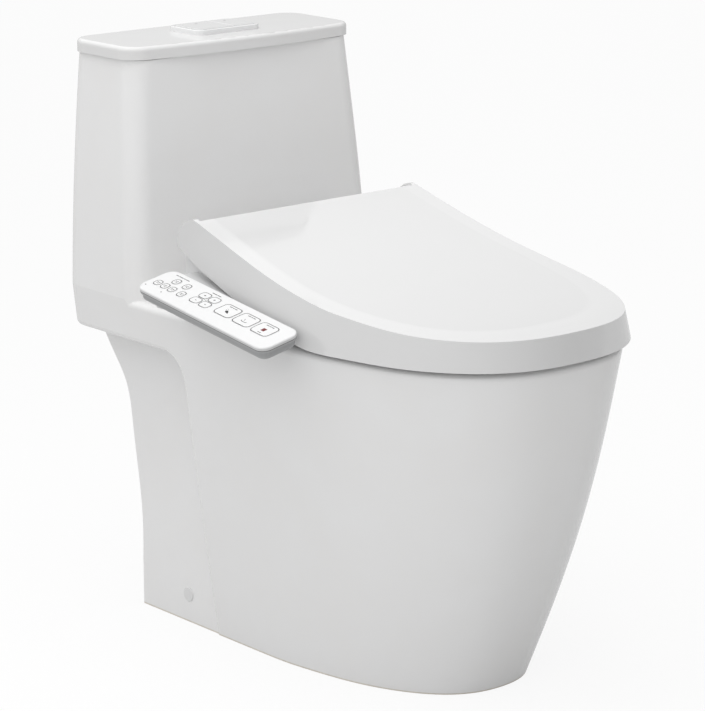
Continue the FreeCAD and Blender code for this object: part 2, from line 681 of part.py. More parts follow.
def flush_valve_body():
    """Flange with the valve seat, a windowed basket, a column and the head with its plunger bores."""
    seat_z = TANK_FLOOR_Z + GASKET_T
    start = point(0, VALVE_Y, seat_z)
    flange = tube(VALVE_FLANGE_R, SEAL_R - 6, start, Z_AXIS, 5)
    tail = tube(VALVE_HOLE_R - 1, SEAL_R - 6, start - Z_AXIS * 20, Z_AXIS, 20)
    basket_h = 74
    basket = tube(VALVE_BASKET_R, VALVE_BASKET_R - VALVE_SKIN, start + Z_AXIS * 5, Z_AXIS, basket_h)
    for i in range(6):
        window = box(-9, 9, 0, 60, seat_z + 12, seat_z + 54)
        window.translate(point(0, VALVE_Y, 0))
        window.rotate(point(0, VALVE_Y, 0), Z_AXIS, i * 60)
        basket = basket.cut(window)
    bore = TUBE_R + SLIDING_GAP
    shelf = tube(VALVE_BASKET_R, bore, start + Z_AXIS * (5 + basket_h), Z_AXIS, 4)
    column_z = seat_z + 9 + basket_h
    column = tube(VALVE_COLUMN_R, bore, point(0, VALVE_Y, column_z), Z_AXIS, VALVE_HEAD_Z - column_z)
    head = rounded_plate(-28, 28, VALVE_Y - 30, VALVE_Y + 22, VALVE_HEAD_Z,
                         VALVE_HEAD_Z + VALVE_HEAD_T, 8)
    body = flange.fuse(tail).fuse(basket).fuse(shelf).fuse(column).fuse(head)
    body = body.cut(rod(bore, point(0, VALVE_Y, VALVE_HEAD_Z - 5), Z_AXIS, 60))
    for side in (-1, 1):
        body = body.cut(rod(PLUNGER_R + SLIDING_GAP, point(side * PLUNGER_X, VALVE_Y - PLUNGER_FORWARD,
                                                           VALVE_HEAD_Z + 6), Z_AXIS, 60))
    return body.removeSplitter()


def overflow_tube():
    """Overflow pipe that lifts, with the flange that holds the seal."""
    seal_top = TANK_FLOOR_Z + GASKET_T + 5 + SEAL_T
    pipe = tube(TUBE_R, TUBE_R - 1.8, point(0, VALVE_Y, seal_top), Z_AXIS, TUBE_TOP_Z - seal_top)
    return pipe.fuse(tube(SEAL_R - 2, TUBE_R - 1.8, point(0, VALVE_Y, seal_top), Z_AXIS, 3))


def flush_seal():
    low = TANK_FLOOR_Z + GASKET_T + 5 + BUMPER_CLEAR
    return tube(SEAL_R, TUBE_R - 1.8, point(0, VALVE_Y, low), Z_AXIS, SEAL_T - BUMPER_CLEAR)


def plunger(side):
    """Short push rod in the valve's head; the tank button presses its cap."""
    foot = point(side * PLUNGER_X, VALVE_Y - PLUNGER_FORWARD, VALVE_HEAD_Z + 6 + BUTTON_TRAVEL + 0.5)
    stem = rod(PLUNGER_R, foot, Z_AXIS, PLUNGER_TOP_Z - 3 - foot.z)
    cap = rod(PLUNGER_R + 1.5, point(foot.x, foot.y, PLUNGER_TOP_Z - 3), Z_AXIS, 3)
    return stem.fuse(cap)


def fill_valve_tower():
    """Fill valve: shank through the tank floor, flange, pipe and diaphragm head."""
    foot = point(SUPPLY_X, SUPPLY_Y, TANK_FLOOR_Z - SHANK_L)
    shank = rod(SHANK_R, foot, Z_AXIS, SHANK_FREE_L)
    clamp = rod(SHANK_R + 0.4, foot + Z_AXIS * SHANK_FREE_L, Z_AXIS, SHANK_L - SHANK_FREE_L)
    flange = rod(TOWER_R + 4, point(SUPPLY_X, SUPPLY_Y, TANK_FLOOR_Z), Z_AXIS, 5)
    pipe = rod(TOWER_R, point(SUPPLY_X, SUPPLY_Y, TANK_FLOOR_Z), Z_AXIS, TOWER_TOP_Z - TANK_FLOOR_Z)
    head = rod(TOWER_R + 1, point(SUPPLY_X, SUPPLY_Y, TOWER_TOP_Z), Z_AXIS, 22)
    lug = box(SUPPLY_X - TOWER_R - 9, SUPPLY_X, SUPPLY_Y + 2.5, SUPPLY_Y + 6, TOWER_TOP_Z, TOWER_TOP_Z + 14)
    pin = rod(1.5, point(SUPPLY_X - TOWER_R - 5, SUPPLY_Y - 2, TOWER_TOP_Z + 9), Y_AXIS, 6)
    inlet = rod(SHANK_R - 3, foot - Z_AXIS, Z_AXIS, SHANK_L + 20)
    return shank.fuse(clamp).fuse(flange).fuse(pipe).fuse(head).fuse(lug).fuse(pin).cut(inlet)


def fill_valve_nut():
    """Hexagon nut that clamps the shank under the tank's shoulder."""
    flat = 13.0
    reach = flat / math.cos(math.pi / 6)
    centre = point(SUPPLY_X, SUPPLY_Y, SHOULDER_Z - 11)
    corners = [centre + point(reach * math.cos(math.radians(30 + 60 * i)),
                              reach * math.sin(math.radians(30 + 60 * i)), 0) for i in range(7)]
    nut = Part.Face(Part.makePolygon(corners)).extrude(Z_AXIS * 11)
    return nut.cut(rod(SHANK_R + 0.5, centre - Z_AXIS, Z_AXIS, 20))


def float_cup():
    """Float beside the tower, with a collar that slides on it and a stem up to the lever."""
    near_x = SUPPLY_X - TOWER_R - 3
    cup = rounded_plate(near_x - FLOAT_W, near_x, SUPPLY_Y - FLOAT_D / 2, SUPPLY_Y + FLOAT_D / 2,
                        FLOAT_Z, FLOAT_Z + FLOAT_H, 6)
    collar = rod(TOWER_R + 3.5, point(SUPPLY_X, SUPPLY_Y, FLOAT_Z), Z_AXIS, 14)
    link = box(near_x - 4, SUPPLY_X, SUPPLY_Y - 5, SUPPLY_Y + 5, FLOAT_Z, FLOAT_Z + 14)
    cup = cup.fuse(collar).fuse(link)
    cup = cup.cut(rod(TOWER_R + SLIDING_GAP, point(SUPPLY_X, SUPPLY_Y, FLOAT_Z - 1), Z_AXIS, FLOAT_H + 4))
    stem = rod(2.0, point(near_x - 36, SUPPLY_Y - 6, FLOAT_Z + FLOAT_H - 2), Z_AXIS,
               TOWER_TOP_Z + 14 - FLOAT_Z - FLOAT_H + 2)
    return cup.fuse(stem).removeSplitter()


def float_lever():
    """Lever on the tower's pin; its far end follows the float's stem."""
    pivot = point(SUPPLY_X - TOWER_R - 5, SUPPLY_Y, TOWER_TOP_Z + 9)
    hub = rod(3.6, pivot - Y_AXIS * 2.5, Y_AXIS, 4.5)
    arm = box(pivot.x - 38, pivot.x, SUPPLY_Y - 2.5, SUPPLY_Y + 2, pivot.z - 2, pivot.z + 2)
    return hub.fuse(arm).cut(rod(1.5 + PIN_CLEARANCE, pivot - Y_AXIS * 5, Y_AXIS, 10))


# ---------------------------------------------------------------- seat lid

def lid_outline(inset, z):
    """Seat lid plan: rounded front, sides that draw in a little towards the hinge, square back."""
    taper = LID_DRAFT * (z - LID_SKIRT_Z)
    half = LID_HALF - inset - taper
    rear_half = LID_REAR_HALF - inset - 0.3 * taper
    rear_y = HINGE_Y + BARREL_R + LID_SKIN + 2
    front = oval_front(half, LID_WIDEST_Y, LID_FRONT_Y + inset + taper, 2.5, z)
    span = rear_y - LID_WIDEST_Y
    middle = half - (half - rear_half) * 0.25
    left = Part.Arc(point(-half, LID_WIDEST_Y, z), point(-middle, LID_WIDEST_Y + span / 2, z),
                    point(-rear_half, rear_y, z)).toShape()
    back = Part.makeLine(point(-rear_half, rear_y, z), point(rear_half, rear_y, z))
    right = Part.Arc(point(rear_half, rear_y, z), point(middle, LID_WIDEST_Y + span / 2, z),
                     point(half, LID_WIDEST_Y, z)).toShape()
    return Part.Wire([front, left, back, right])


def crown_curve(drop, front_y):
    """Side view of the lid's top: level at the front, rising to the hinge."""
    curve = Part.BSplineCurve()
    curve.interpolate(Points=[point(0, front_y, LID_FRONT_Z - drop),
                              point(0, LID_FRONT_Y + 82, LID_FRONT_Z + 1 - drop),
                              point(0, LID_FRONT_Y + 167, LID_FRONT_Z + 8.5 - drop),
                              point(0, HINGE_Y - 163, LID_FRONT_Z + 28 - drop),
                              point(0, HINGE_Y - 78, LID_FRONT_Z + 50 - drop),
                              point(0, HINGE_Y, HINGE_Z + BARREL_R + LID_SKIN + 0.4 - drop)])
    return curve


def skirt_curve():
    """Side view of the lid's lower edge: level over the rim, rising past the control panel."""
    curve = Part.BSplineCurve()
    curve.interpolate(Points=[point(0, HINGE_Y + 17, HINGE_Z - 11), point(0, HINGE_Y - 18, HINGE_Z - 25),
                              point(0, HINGE_Y - 70, HINGE_Z - 41), point(0, HINGE_Y - 144, HINGE_Z - 63),
                              point(0, HINGE_Y - 223, LID_SKIRT_Z + 0.4)])
    return curve


def lid_side_face(drop, round_r, low_extra):
    """Side outline of the lid, or of the room inside it."""
    front_y = LID_FRONT_Y - 20
    crown = crown_curve(drop, front_y)
    top = crown.EndPoint
    rear = point(0, HINGE_Y + round_r, HINGE_Z)
    high = point(0, HINGE_Y + round_r * math.sin(math.pi / 4), HINGE_Z + round_r * math.cos(math.pi / 4))
    top = point(0, HINGE_Y, HINGE_Z + round_r)
    edges = [crown.toShape()]
    if crown.EndPoint.distanceToPoint(top) > 1e-6:
        edges.append(Part.makeLine(crown.EndPoint, top))
    edges.append(Part.Arc(top, high, rear).toShape())
    if low_extra > 0:
        floor_z = LID_SKIRT_Z - low_extra
        edges.append(Part.makeLine(rear, point(0, rear.y, floor_z)))
        edges.append(Part.makeLine(point(0, rear.y, floor_z), point(0, front_y, floor_z)))
        edges.append(Part.makeLine(point(0, front_y, floor_z), crown.StartPoint))
    else:
        low = point(0, HINGE_Y + round_r - 6, HINGE_Z - 8)
        lower = point(0, HINGE_Y + round_r - 1.8, HINGE_Z - 5)
        edges.append(Part.Arc(rear, lower, low).toShape())
        skirt = skirt_curve()
        edges.append(Part.makeLine(low, skirt.StartPoint))
        edges.append(skirt.toShape())
        edges.append(Part.makeLine(skirt.EndPoint, point(0, LID_WIDEST_Y - 60, LID_SKIRT_Z)))
        edges.append(Part.makeLine(point(0, LID_WIDEST_Y - 60, LID_SKIRT_Z), point(0, front_y, LID_SKIRT_Z)))
        edges.append(Part.makeLine(point(0, front_y, LID_SKIRT_Z), crown.StartPoint))
    return Part.Face(Part.Wire(edges))


def lid_block(inset, drop, round_r, low_extra):
    low_z = LID_SKIRT_Z - 14
    high_z = HINGE_Z + BARREL_R + LID_SKIN + 8
    loft = Part.makeLoft([lid_outline(inset, low_z), lid_outline(inset, high_z)], True, False)
    side = lid_side_face(drop, round_r, low_extra)
    side.translate(point(-LID_HALF - 10, 0, 0))
    return loft.common(side.extrude(point(2 * LID_HALF + 20, 0, 0)))


def lid_shell():
    """Moulded lid: thin skin, deep skirt, end discs over the hinge and two hinge ears inside."""
    outer = lid_block(0, 0, BARREL_R + LID_SKIN + 0.4, 0)
    crease = [e for e in outer.Edges if e.Length > 300 and e.BoundBox.ZMax > HINGE_Z
              and e.BoundBox.ZMin > LID_SKIRT_Z + 25]
    if crease:
        outer = outer.makeFillet(LID_EDGE_R, crease)
    inner = lid_block(LID_SKIN, LID_SKIN, BARREL_R + BARREL_GAP, 30)
    shell = outer.cut(inner)
    end_x = UNIT_HALF + 1.2
    trim_y = HINGE_Y - LID_TRIM
    far = 2 * BARREL_R
    shell = shell.cut(box(-end_x, end_x, trim_y, HINGE_Y + far, LID_SKIRT_Z, HINGE_Z + far))
    shell = shell.cut(rod(BARREL_R + BARREL_GAP, point(-end_x, HINGE_Y, HINGE_Z), X_AXIS, 2 * end_x))
    ear_x = SEAT_EAR_X + SEAT_EAR_W + EAR_GAP
    for side in (-1, 1):
        start = point(side * ear_x, HINGE_Y, HINGE_Z)
        ear = rod(KNUCKLE_R, start, X_AXIS * side, LID_EAR_W)
        x0, x1 = sorted((side * ear_x, side * (ear_x + LID_EAR_W)))
        web = box(x0, x1, HINGE_Y - KNUCKLE_R, trim_y, HINGE_Z, HINGE_Z + BARREL_R + 2)
        shell = shell.fuse(ear).fuse(web.common(lid_block(0.5, 0.5, BARREL_R + LID_SKIN, 0)))
        bore = rod(HINGE_PIN_R + PIN_CLEARANCE, start - X_AXIS * side, X_AXIS * side, LID_EAR_W + 2)
        shell = shell.cut(bore)
    return shell


def lid_bumpers():
    """Two soft pads between the lid's front and the seat."""
    pads = []
    for side in (-1, 1):
        low = seat_top_z(BUMPER_Y + BUMPER_R) + BUMPER_CLEAR
        pads.append(rod(BUMPER_R - 2, point(side * BUMPER_X, BUMPER_Y, low), Z_AXIS, 30))
    room = lid_block(LID_SKIN, LID_SKIN, BARREL_R + BARREL_GAP, 30)
    return Part.makeCompound([pad.common(room) for pad in pads])


# ---------------------------------------------------------------- seat ring

def seat_top_z(y):
    share = (y - SEAT_FRONT_Y) / (SEAT_REAR_Y - SEAT_FRONT_Y)
    return SEAT_FRONT_TOP_Z + (SEAT_REAR_TOP_Z - SEAT_FRONT_TOP_Z) * share


def seat_block():
    """The whole ring: oval outline, sloping top, a funnelled opening and the two hinge arms."""
    outline = bowl_outline(SEAT_HALF, LID_WIDEST_Y, SEAT_FRONT_Y, SEAT_REAR_Y, 18, 2.5, SEAT_BOTTOM_Z)
    ring = Part.Face(outline).extrude(Z_AXIS * 60)
    ring = ring.common(side_prism([(SEAT_FRONT_Y - 5, SEAT_BOTTOM_Z), (SEAT_REAR_Y, SEAT_BOTTOM_Z),
                                   (SEAT_REAR_Y, SEAT_REAR_TOP_Z),
                                   (SEAT_FRONT_Y - 5, seat_top_z(SEAT_FRONT_Y - 5))],
                                  -SEAT_HALF - 5, SEAT_HALF + 5))
    top = [e for e in ring.Edges if e.BoundBox.ZMin > SEAT_FRONT_TOP_Z - 2 and e.Length > 15]
    ring = ring.makeFillet(SEAT_EDGE_R, top)
    low = oval(SEAT_OPEN_HALF, SEAT_OPEN_FRONT_Y, SEAT_OPEN_REAR_Y, SEAT_BOTTOM_Z - 1)
    high = oval(SEAT_OPEN_HALF + 9, SEAT_OPEN_FRONT_Y - 9, SEAT_OPEN_REAR_Y + 9, SEAT_REAR_TOP_Z + 6)
    ring = ring.cut(Part.makeLoft([low, high], True, True)).cut(nozzle_arch())
    for side in (-1, 1):
        ring = ring.fuse(seat_arm(side))
    return ring


def nozzle_arch():
    """Arch under the ring's rear bridge that lets the nozzles pass."""
    half = NOZZLE_X + NOZZLE_R + 9
    return box(-half, half, SEAT_OPEN_REAR_Y - 12, SEAT_REAR_Y + 2, SEAT_BOTTOM_Z - 2, NOZZLE_TIP_Z + 6)


def arm_outline(below, above):
    """Side outline of a hinge arm from the ring up to the hinge line, and its knuckle."""
    foot = point(0, SEAT_REAR_Y - 14, SEAT_REAR_TOP_Z - 13)
    along = (HINGE - foot).normalize()
    across = point(0, -along.z, along.y)
    quad = [foot - across * below, HINGE - across * below, HINGE + across * above, foot + across * above]
    return [(p.y, p.z) for p in quad]


def seat_arm(side):
    x0, x1 = sorted((side * SEAT_EAR_X, side * (SEAT_EAR_X + SEAT_EAR_W)))
    arm = side_prism(arm_outline(9, 9), x0, x1)
    start = point(x0, HINGE_Y, HINGE_Z)
    arm = arm.fuse(rod(KNUCKLE_R, start, X_AXIS, SEAT_EAR_W))
    return arm.cut(rod(HINGE_PIN_R + PIN_CLEARANCE, start - X_AXIS, X_AXIS, SEAT_EAR_W + 2))


def heater_room(grow):
    """The flat pocket under the seat's top that holds the heater foil."""
    outer = Part.Face(bowl_outline(SEAT_HALF - 14 + grow, LID_WIDEST_Y, SEAT_FRONT_Y + 14 - grow,
                                   SEAT_REAR_Y - 10 + grow, 14, 2.5, SEAT_SEAM_Z))
    ring = outer.extrude(Z_AXIS * (HEATER_T + grow))
    inner = Part.Face(oval(SEAT_OPEN_HALF + 14 - grow, SEAT_OPEN_FRONT_Y - 14 + grow,
                           SEAT_OPEN_REAR_Y + 6 - grow, SEAT_SEAM_Z - 1))
    return ring.cut(inner.extrude(Z_AXIS * 8)).cut(nozzle_arch())


def seat_ring_base(block):
    return block.common(box(-SEAT_HALF - 5, SEAT_HALF + 5, SEAT_FRONT_Y - 5, SEAT_REAR_Y + 0.01,
                            SEAT_BOTTOM_Z - 1, SEAT_SEAM_Z))


def seat_ring_top(block):
    top = block.common(box(-SEAT_HALF - 5, SEAT_HALF + 5, SEAT_FRONT_Y - 5, HINGE_Y + 40,
                           SEAT_SEAM_Z, HINGE_Z + 60))
    return top.cut(heater_room(0.2))


def seat_bumpers():
    pads = []
    for x, y in ((BUMPER_X, BUMPER_Y), (SEAT_HALF - 31, LID_WIDEST_Y - 12)):
        pads.append(pair(rod(BUMPER_R, point(x, y, RIM_Z + BUMPER_CLEAR), Z_AXIS,
                             SEAT_BOTTOM_Z - RIM_Z - BUMPER_CLEAR)))
    return Part.makeCompound([solid for pad in pads for solid in pad.Solids])


# ---------------------------------------------------------------- bidet base unit

def unit_block(inset, floor_z):
    """Base unit cover: a hump under the lid with the round hinge barrel along its rear."""
    barrel = BARREL_R - inset
    rear = HINGE_Y + barrel
    half = UNIT_HALF - inset
    lean = math.radians(38)
    shape = side_prism([(UNIT_FRONT_Y + inset, floor_z), (rear, floor_z), (rear, HINGE_Z), (HINGE_Y, HINGE_Z),
                        (HINGE_Y - barrel * math.sin(lean), HINGE_Z + barrel * math.cos(lean)),
                        (UNIT_FRONT_Y + 12 + inset, UNIT_FRONT_Z + 4 - inset),
                        (UNIT_FRONT_Y + inset, UNIT_FRONT_Z - 8 - inset)], -half, half)
    return shape.fuse(rod(barrel, point(-half, HINGE_Y, HINGE_Z), X_AXIS, 2 * half))


def hinge_room(side, wall, end_x):
    """Room at each end of the barrel for the seat's and the lid's hinge ears."""
    x0, x1 = sorted((side * (BARREL_END_X - wall), side * end_x))
    sweep = rod(BARREL_R + LID_SKIN + 1.0 + wall, point(x0, HINGE_Y, HINGE_Z), X_AXIS, x1 - x0)
    arm = side_prism(arm_outline(11.5 + wall, 90), x0, x1)
    front = box(x0, x1, UNIT_FRONT_Y - 30, UNIT_FRONT_Y + 22, SEAT_REAR_TOP_Z - 20 - wall, HINGE_Z + 60)
    return sweep.fuse(arm).fuse(front)


def base_cover():
    """Thin cover, open below, with the flat wing that carries the control panel."""
    floor_z = TRAY_Z + TRAY_T
    outer = unit_block(0, floor_z)
    inner = unit_block(UNIT_SKIN, floor_z - 1)
    for side in (-1, 1):
        outer = outer.cut(hinge_room(side, 0, UNIT_HALF - END_WALL))
        inner = inner.cut(hinge_room(side, UNIT_SKIN, UNIT_HALF + 20))
    cover = outer.cut(inner)
    for side in (-1, 1):
        start = point(0, HINGE_Y, HINGE_Z)
        cover = cover.cut(rod(HINGE_PIN_R, start, X_AXIS * side, UNIT_HALF - END_WALL / 2))
    wing = side_prism([(ARM_FRONT_Y, ARM_TOP_Z - ARM_T), (HINGE_Y + 4, ARM_TOP_Z - ARM_T),
                       (HINGE_Y + 4, ARM_TOP_Z + 13), (ARM_FRONT_Y, ARM_TOP_Z)], PANEL_X, -UNIT_HALF)
    cover = cover.fuse(wing.cut(panel_envelope()))
    cover = cover.cut(nozzle_port())
    cover = cover.cut(rod(INLET_R, point(UNIT_HALF - 12, INLET_Y, INLET_Z), X_AXIS, 20))
    cover = cover.cut(rod(GLAND_R, point(GLAND_X, HINGE_Y, INLET_Z), Y_AXIS, 60))
    button = release_box(SLIDING_GAP)
    return cover.cut(button).removeSplitter()


def base_tray():
    """Floor of the base unit, with the channel that slides over the mounting plate."""
    half = UNIT_HALF
    rear = HINGE_Y + BARREL_R
    tray = box(-half, half, UNIT_FRONT_Y, rear, TRAY_Z, TRAY_Z + TRAY_T)
    channel = box(-PLATE_HALF - SLIDE_GAP, PLATE_HALF + SLIDE_GAP, PLATE_FRONT_Y - SLIDE_GAP, rear + 5,
                  TRAY_Z - 1, RIM_Z + PLATE_T + SLIDE_GAP)
    tray = tray.cut(channel).cut(nozzle_port())
    for x, y in board_posts():
        tray = tray.fuse(rod(3, point(x, y, TRAY_Z + TRAY_T - 1), Z_AXIS, BOARD_Z - TRAY_Z - TRAY_T + 1))
    return tray.removeSplitter()


def nozzle_port():
    """Slot at the front through which the two nozzles come out."""
    half = NOZZLE_X + NOZZLE_R + 2
    return box(-half, half, UNIT_FRONT_Y - 5, UNIT_FRONT_Y + 30, TRAY_Z + 3, TRAY_Z + TRAY_T + 13)


def board_posts():
    return [(x, y) for x in (-116.0, -46.0) for y in (-8.0, 44.0)]


def control_board():
    """Main circuit board with its relay and connector blocks."""
    board = box(-122, -40, -14, 50, BOARD_Z, BOARD_Z + 1.6)
    board = board.fuse(box(-112, -94, 0, 20, BOARD_Z + 1.6, BOARD_Z + 16))
    return board.fuse(box(-80, -52, 26, 40, BOARD_Z + 1.6, BOARD_Z + 11)).removeSplitter()


def water_heater_tank():
    """Small tank that warms the wash water, lying beside the nozzles."""
    floor_z = TRAY_Z + TRAY_T
    tank = rounded_plate(38, 118, -18, 48, floor_z, floor_z + 36, 9)
    return tank.fuse(rod(5, point(100, 46, floor_z + 20), Y_AXIS, 10))


def inlet_valve():
    """Solenoid valve between the water inlet and the heater."""
    body = box(UNIT_HALF - 38, UNIT_HALF - 12, INLET_Y - 13, INLET_Y + 11, TRAY_Z + TRAY_T, INLET_Z + 9)
    coil = rod(8, point(UNIT_HALF - 37, INLET_Y - 1, INLET_Z + 8), Z_AXIS, 15)
    return body.fuse(coil).removeSplitter()


def water_inlet():
    """Half-inch male stub on the left end of the unit, with a shoulder against the cover."""
    start = point(UNIT_HALF - 12, INLET_Y, INLET_Z)
    stub = rod(INLET_R, start, X_AXIS, INLET_L + 12)
    stub = stub.fuse(rod(INLET_R + 3, point(UNIT_HALF, INLET_Y, INLET_Z), X_AXIS, 3))
    return stub.cut(rod(INLET_R - 4, start, X_AXIS, INLET_L + 20)).removeSplitter()


def cord_gland():
    """Grommet for the supply cord; the cord itself is not shown."""
    wall_y = HINGE_Y + BARREL_R
    gland = rod(GLAND_R, point(GLAND_X, wall_y - UNIT_SKIN - 4, INLET_Z), Y_AXIS, UNIT_SKIN + 12)
    gland = gland.fuse(rod(GLAND_R + 2.5, point(GLAND_X, wall_y, INLET_Z), Y_AXIS, 3))
    return gland.cut(rod(3.6, point(GLAND_X, wall_y - 20, INLET_Z), Y_AXIS, 40))


def hinge_pins():
    """Soft-close dampers inside the barrel; their shafts are the hinge pins of seat and lid."""
    inner_x = BARREL_END_X - UNIT_SKIN
    length = UNIT_HALF - END_WALL / 2 - inner_x
    pin = rod(HINGE_PIN_R, point(inner_x - 2, HINGE_Y, HINGE_Z), X_AXIS, length + 2)
    body = rod(BARREL_R - UNIT_SKIN - 6, point(inner_x - 58, HINGE_Y, HINGE_Z), X_AXIS, 58)
    return pair(pin.fuse(body))


def release_box(grow):
    """Push button low on the left end of the unit, which frees it from the mounting plate."""
    depth = 12
    return box(UNIT_HALF - depth, UNIT_HALF + 2.5 + grow, 30 - grow, 48 + grow,
               TRAY_Z + TRAY_T + 6 - grow, TRAY_Z + TRAY_T + 16 + grow)


def release_button():
    button = release_box(0)
    outer = [e for e in button.Edges if e.BoundBox.XMin > UNIT_HALF + 2]
    return button.makeFillet(1.2, outer)


# ---------------------------------------------------------------- nozzles

def nozzle_axis():
    slope = math.radians(NOZZLE_SLOPE)
    return point(0, math.cos(slope), math.sin(slope))


def nozzle(side):
    """Slim wash nozzle with a domed tip and a row of spray holes on top."""
    along = nozzle_axis()
    tip = point(side * NOZZLE_X, NOZZLE_TIP_Y, NOZZLE_TIP_Z)
    body = rod(NOZZLE_R, tip, along, NOZZLE_L)
    rim = [e for e in body.Edges if e.BoundBox.YMax < NOZZLE_TIP_Y + NOZZLE_R]
    body = body.makeFillet(NOZZLE_R * 0.6, rim)
    up = point(0, -along.z, along.y)
    for i in range(3):
        body = body.cut(rod(0.7, tip + along * (9 + 3.5 * i) + up * (NOZZLE_R - 1.5), up, 5))
    return body


def nozzle_housing():
    """Block under the cover with a running bore for each nozzle."""
    along = nozzle_axis()
    up = point(0, -along.z, along.y)
    tip = point(0, NOZZLE_TIP_Y, NOZZLE_TIP_Z)
    floor_z = TRAY_Z + TRAY_T
    first = tip + along * 14 + up * (NOZZLE_R + 3)
    last = tip + along * (NOZZLE_L - 6) + up * (NOZZLE_R + 3)
    half = NOZZLE_X + NOZZLE_R + 3
    block = side_prism([(first.y + 6, floor_z), (last.y + 4, floor_z), (last.y, last.z), (first.y, first.z),
                        (first.y, floor_z + 6)], -half, half)
    for side in (-1, 1):
        block = block.cut(rod(NOZZLE_R + 0.35, point(side * NOZZLE_X, tip.y, tip.z) - along * 20, along,
                              NOZZLE_L + 60))
    return block.cut(nozzle_port())


# ---------------------------------------------------------------- seat mounting

def seat_mounting_plate():
    """Steel-backed plate on the deck; the base unit slides onto it from the front."""
    plate = rounded_plate(-PLATE_HALF, PLATE_HALF, PLATE_FRONT_Y, PLATE_REAR_Y, RIM_Z, RIM_Z + PLATE_T, 10)
    for side in (-1, 1):
        slot_x = side * SEAT_BOLT_X
        plate = plate.cut(rod(SEAT_BOLT_R + 0.2, point(slot_x, SEAT_BOLT_Y, RIM_Z - 1), Z_AXIS, 10))
        plate = plate.cut(rod(SEAT_BOLT_R + 4.5, point(slot_x, SEAT_BOLT_Y, RIM_Z + 2.2), Z_AXIS, 10))
    return plate


def seat_mounting_bolts():
    """Countersunk bolts in expanding sleeves that grip the deck's blind holes."""
    bolt = rod(SEAT_BOLT_R, point(SEAT_BOLT_X, SEAT_BOLT_Y, RIM_Z - SEAT_HOLE_DEPTH + 4), Z_AXIS,
               SEAT_HOLE_DEPTH - 1.8)
    head = rod(SEAT_BOLT_R + 4, point(SEAT_BOLT_X, SEAT_BOLT_Y, RIM_Z + 2.2), Z_AXIS, PLATE_T - 2.5)
    return pair(bolt.fuse(head))


def expansion_sleeves():
    return pair(tube(SEAT_HOLE_R, SEAT_BOLT_R, point(SEAT_BOLT_X, SEAT_BOLT_Y, RIM_Z - SEAT_HOLE_DEPTH + 2),
                     Z_AXIS, SEAT_HOLE_DEPTH - 2))


# ---------------------------------------------------------------- control panel

def to_panel(shape):
    """Moves a flat shape, drawn about the panel's centre, to the panel's slope and tilt."""
    shape.rotate(point(0, 0, 0), Y_AXIS, -PANEL_TILT)
    shape.rotate(point(0, 0, 0), X_AXIS, PANEL_SLOPE)
    shape.translate(point(PANEL_X, PANEL_Y, PANEL_Z))
    return shape


def panel_plate(inset, z0, z1, radius):
    return rounded_plate(-PANEL_W / 2 + inset, PANEL_W / 2 - inset, -PANEL_L / 2 + inset,
                         PANEL_L / 2 - inset, z0, z1, radius)


def panel_envelope():
    """The room that fascia and tray take, cut out of the wing."""
    low = -FASCIA_T - PANEL_TRAY_T
    plate = panel_plate(0, -FASCIA_T, 0, PANEL_R).fuse(
        panel_plate(PANEL_TRAY_INSET, low, -FASCIA_T, PANEL_R - PANEL_TRAY_INSET))
    return to_panel(plate)


def key_places():
    """Each key: name, centre across and along the panel, width, length and corner radius."""
    big = [(name, 4.5, y, 24.0, 29.0, 6.0) for name, y in
           (("stop_key", -80.0), ("rear_wash_key", -47.5), ("front_wash_key", -15.0))]
    middle = [(name, x, y, 12.5, 15.5, 5.0) for name, x, y in
              (("pressure_up_key", 10.5, 17.0), ("pressure_down_key", -3.0, 17.0),
               ("nozzle_forward_key", 10.5, 34.0), ("nozzle_back_key", -3.0, 34.0))]
    small = [(name, x, y, 11.5, 10.5, 4.5) for name, x, y in
             (("power_key", -5.0, 101.0), ("seat_heat_key", -5.0, 88.0), ("water_heat_key", -5.0, 75.0),
              ("dry_key", -5.0, 58.0), ("light_key", 10.0, 86.0), ("move_key", 10.0, 67.0))]
    return big + middle + small


def key_plate(place, grow, z0, z1):
    name, x, y, width, length, radius = place
    return rounded_plate(x - width / 2 - grow, x + width / 2 + grow, y - length / 2 - grow,
                         y + length / 2 + grow, z0, z1, radius + grow)


def panel_key(place):
    key = key_plate(place, 0, KEY_PROUD - KEY_T, KEY_PROUD)
    return to_panel(key)


def panel_fascia():
    """White top of the panel: thin skin with a well for each key and a rim down to the tray."""
    plate = panel_plate(0, -FASCIA_T, 0, PANEL_R)
    top = [e for e in plate.Edges if e.BoundBox.ZMin > -0.01]
    plate = plate.makeFillet(1.6, top)
    plate = plate.cut(panel_plate(FASCIA_SKIN, -FASCIA_T - 1, -FASCIA_SKIN, PANEL_R - FASCIA_SKIN))
    for place in key_places():
        plate = plate.cut(key_plate(place, KEY_GAP, -FASCIA_T, 1))
    return to_panel(plate)


def panel_tray():
    """Grey underside of the panel, set in from the fascia, with posts for the board."""
    plate = panel_plate(PANEL_TRAY_INSET, -FASCIA_T - PANEL_TRAY_T, -FASCIA_T,
                        PANEL_R - PANEL_TRAY_INSET)
    low = [e for e in plate.Edges if e.BoundBox.ZMax < -FASCIA_T - PANEL_TRAY_T + 0.01]
    plate = plate.makeFillet(4.5, low)
    return to_panel(plate)


def panel_circuit_board():
    """Board under the keys, with one switch dome below each."""
    high = KEY_PROUD - KEY_T - KEY_TRAVEL - 0.1
    board = panel_plate(FASCIA_SKIN + 0.2, -FASCIA_T, high, PANEL_R - FASCIA_SKIN - 0.2)
    return to_panel(board)


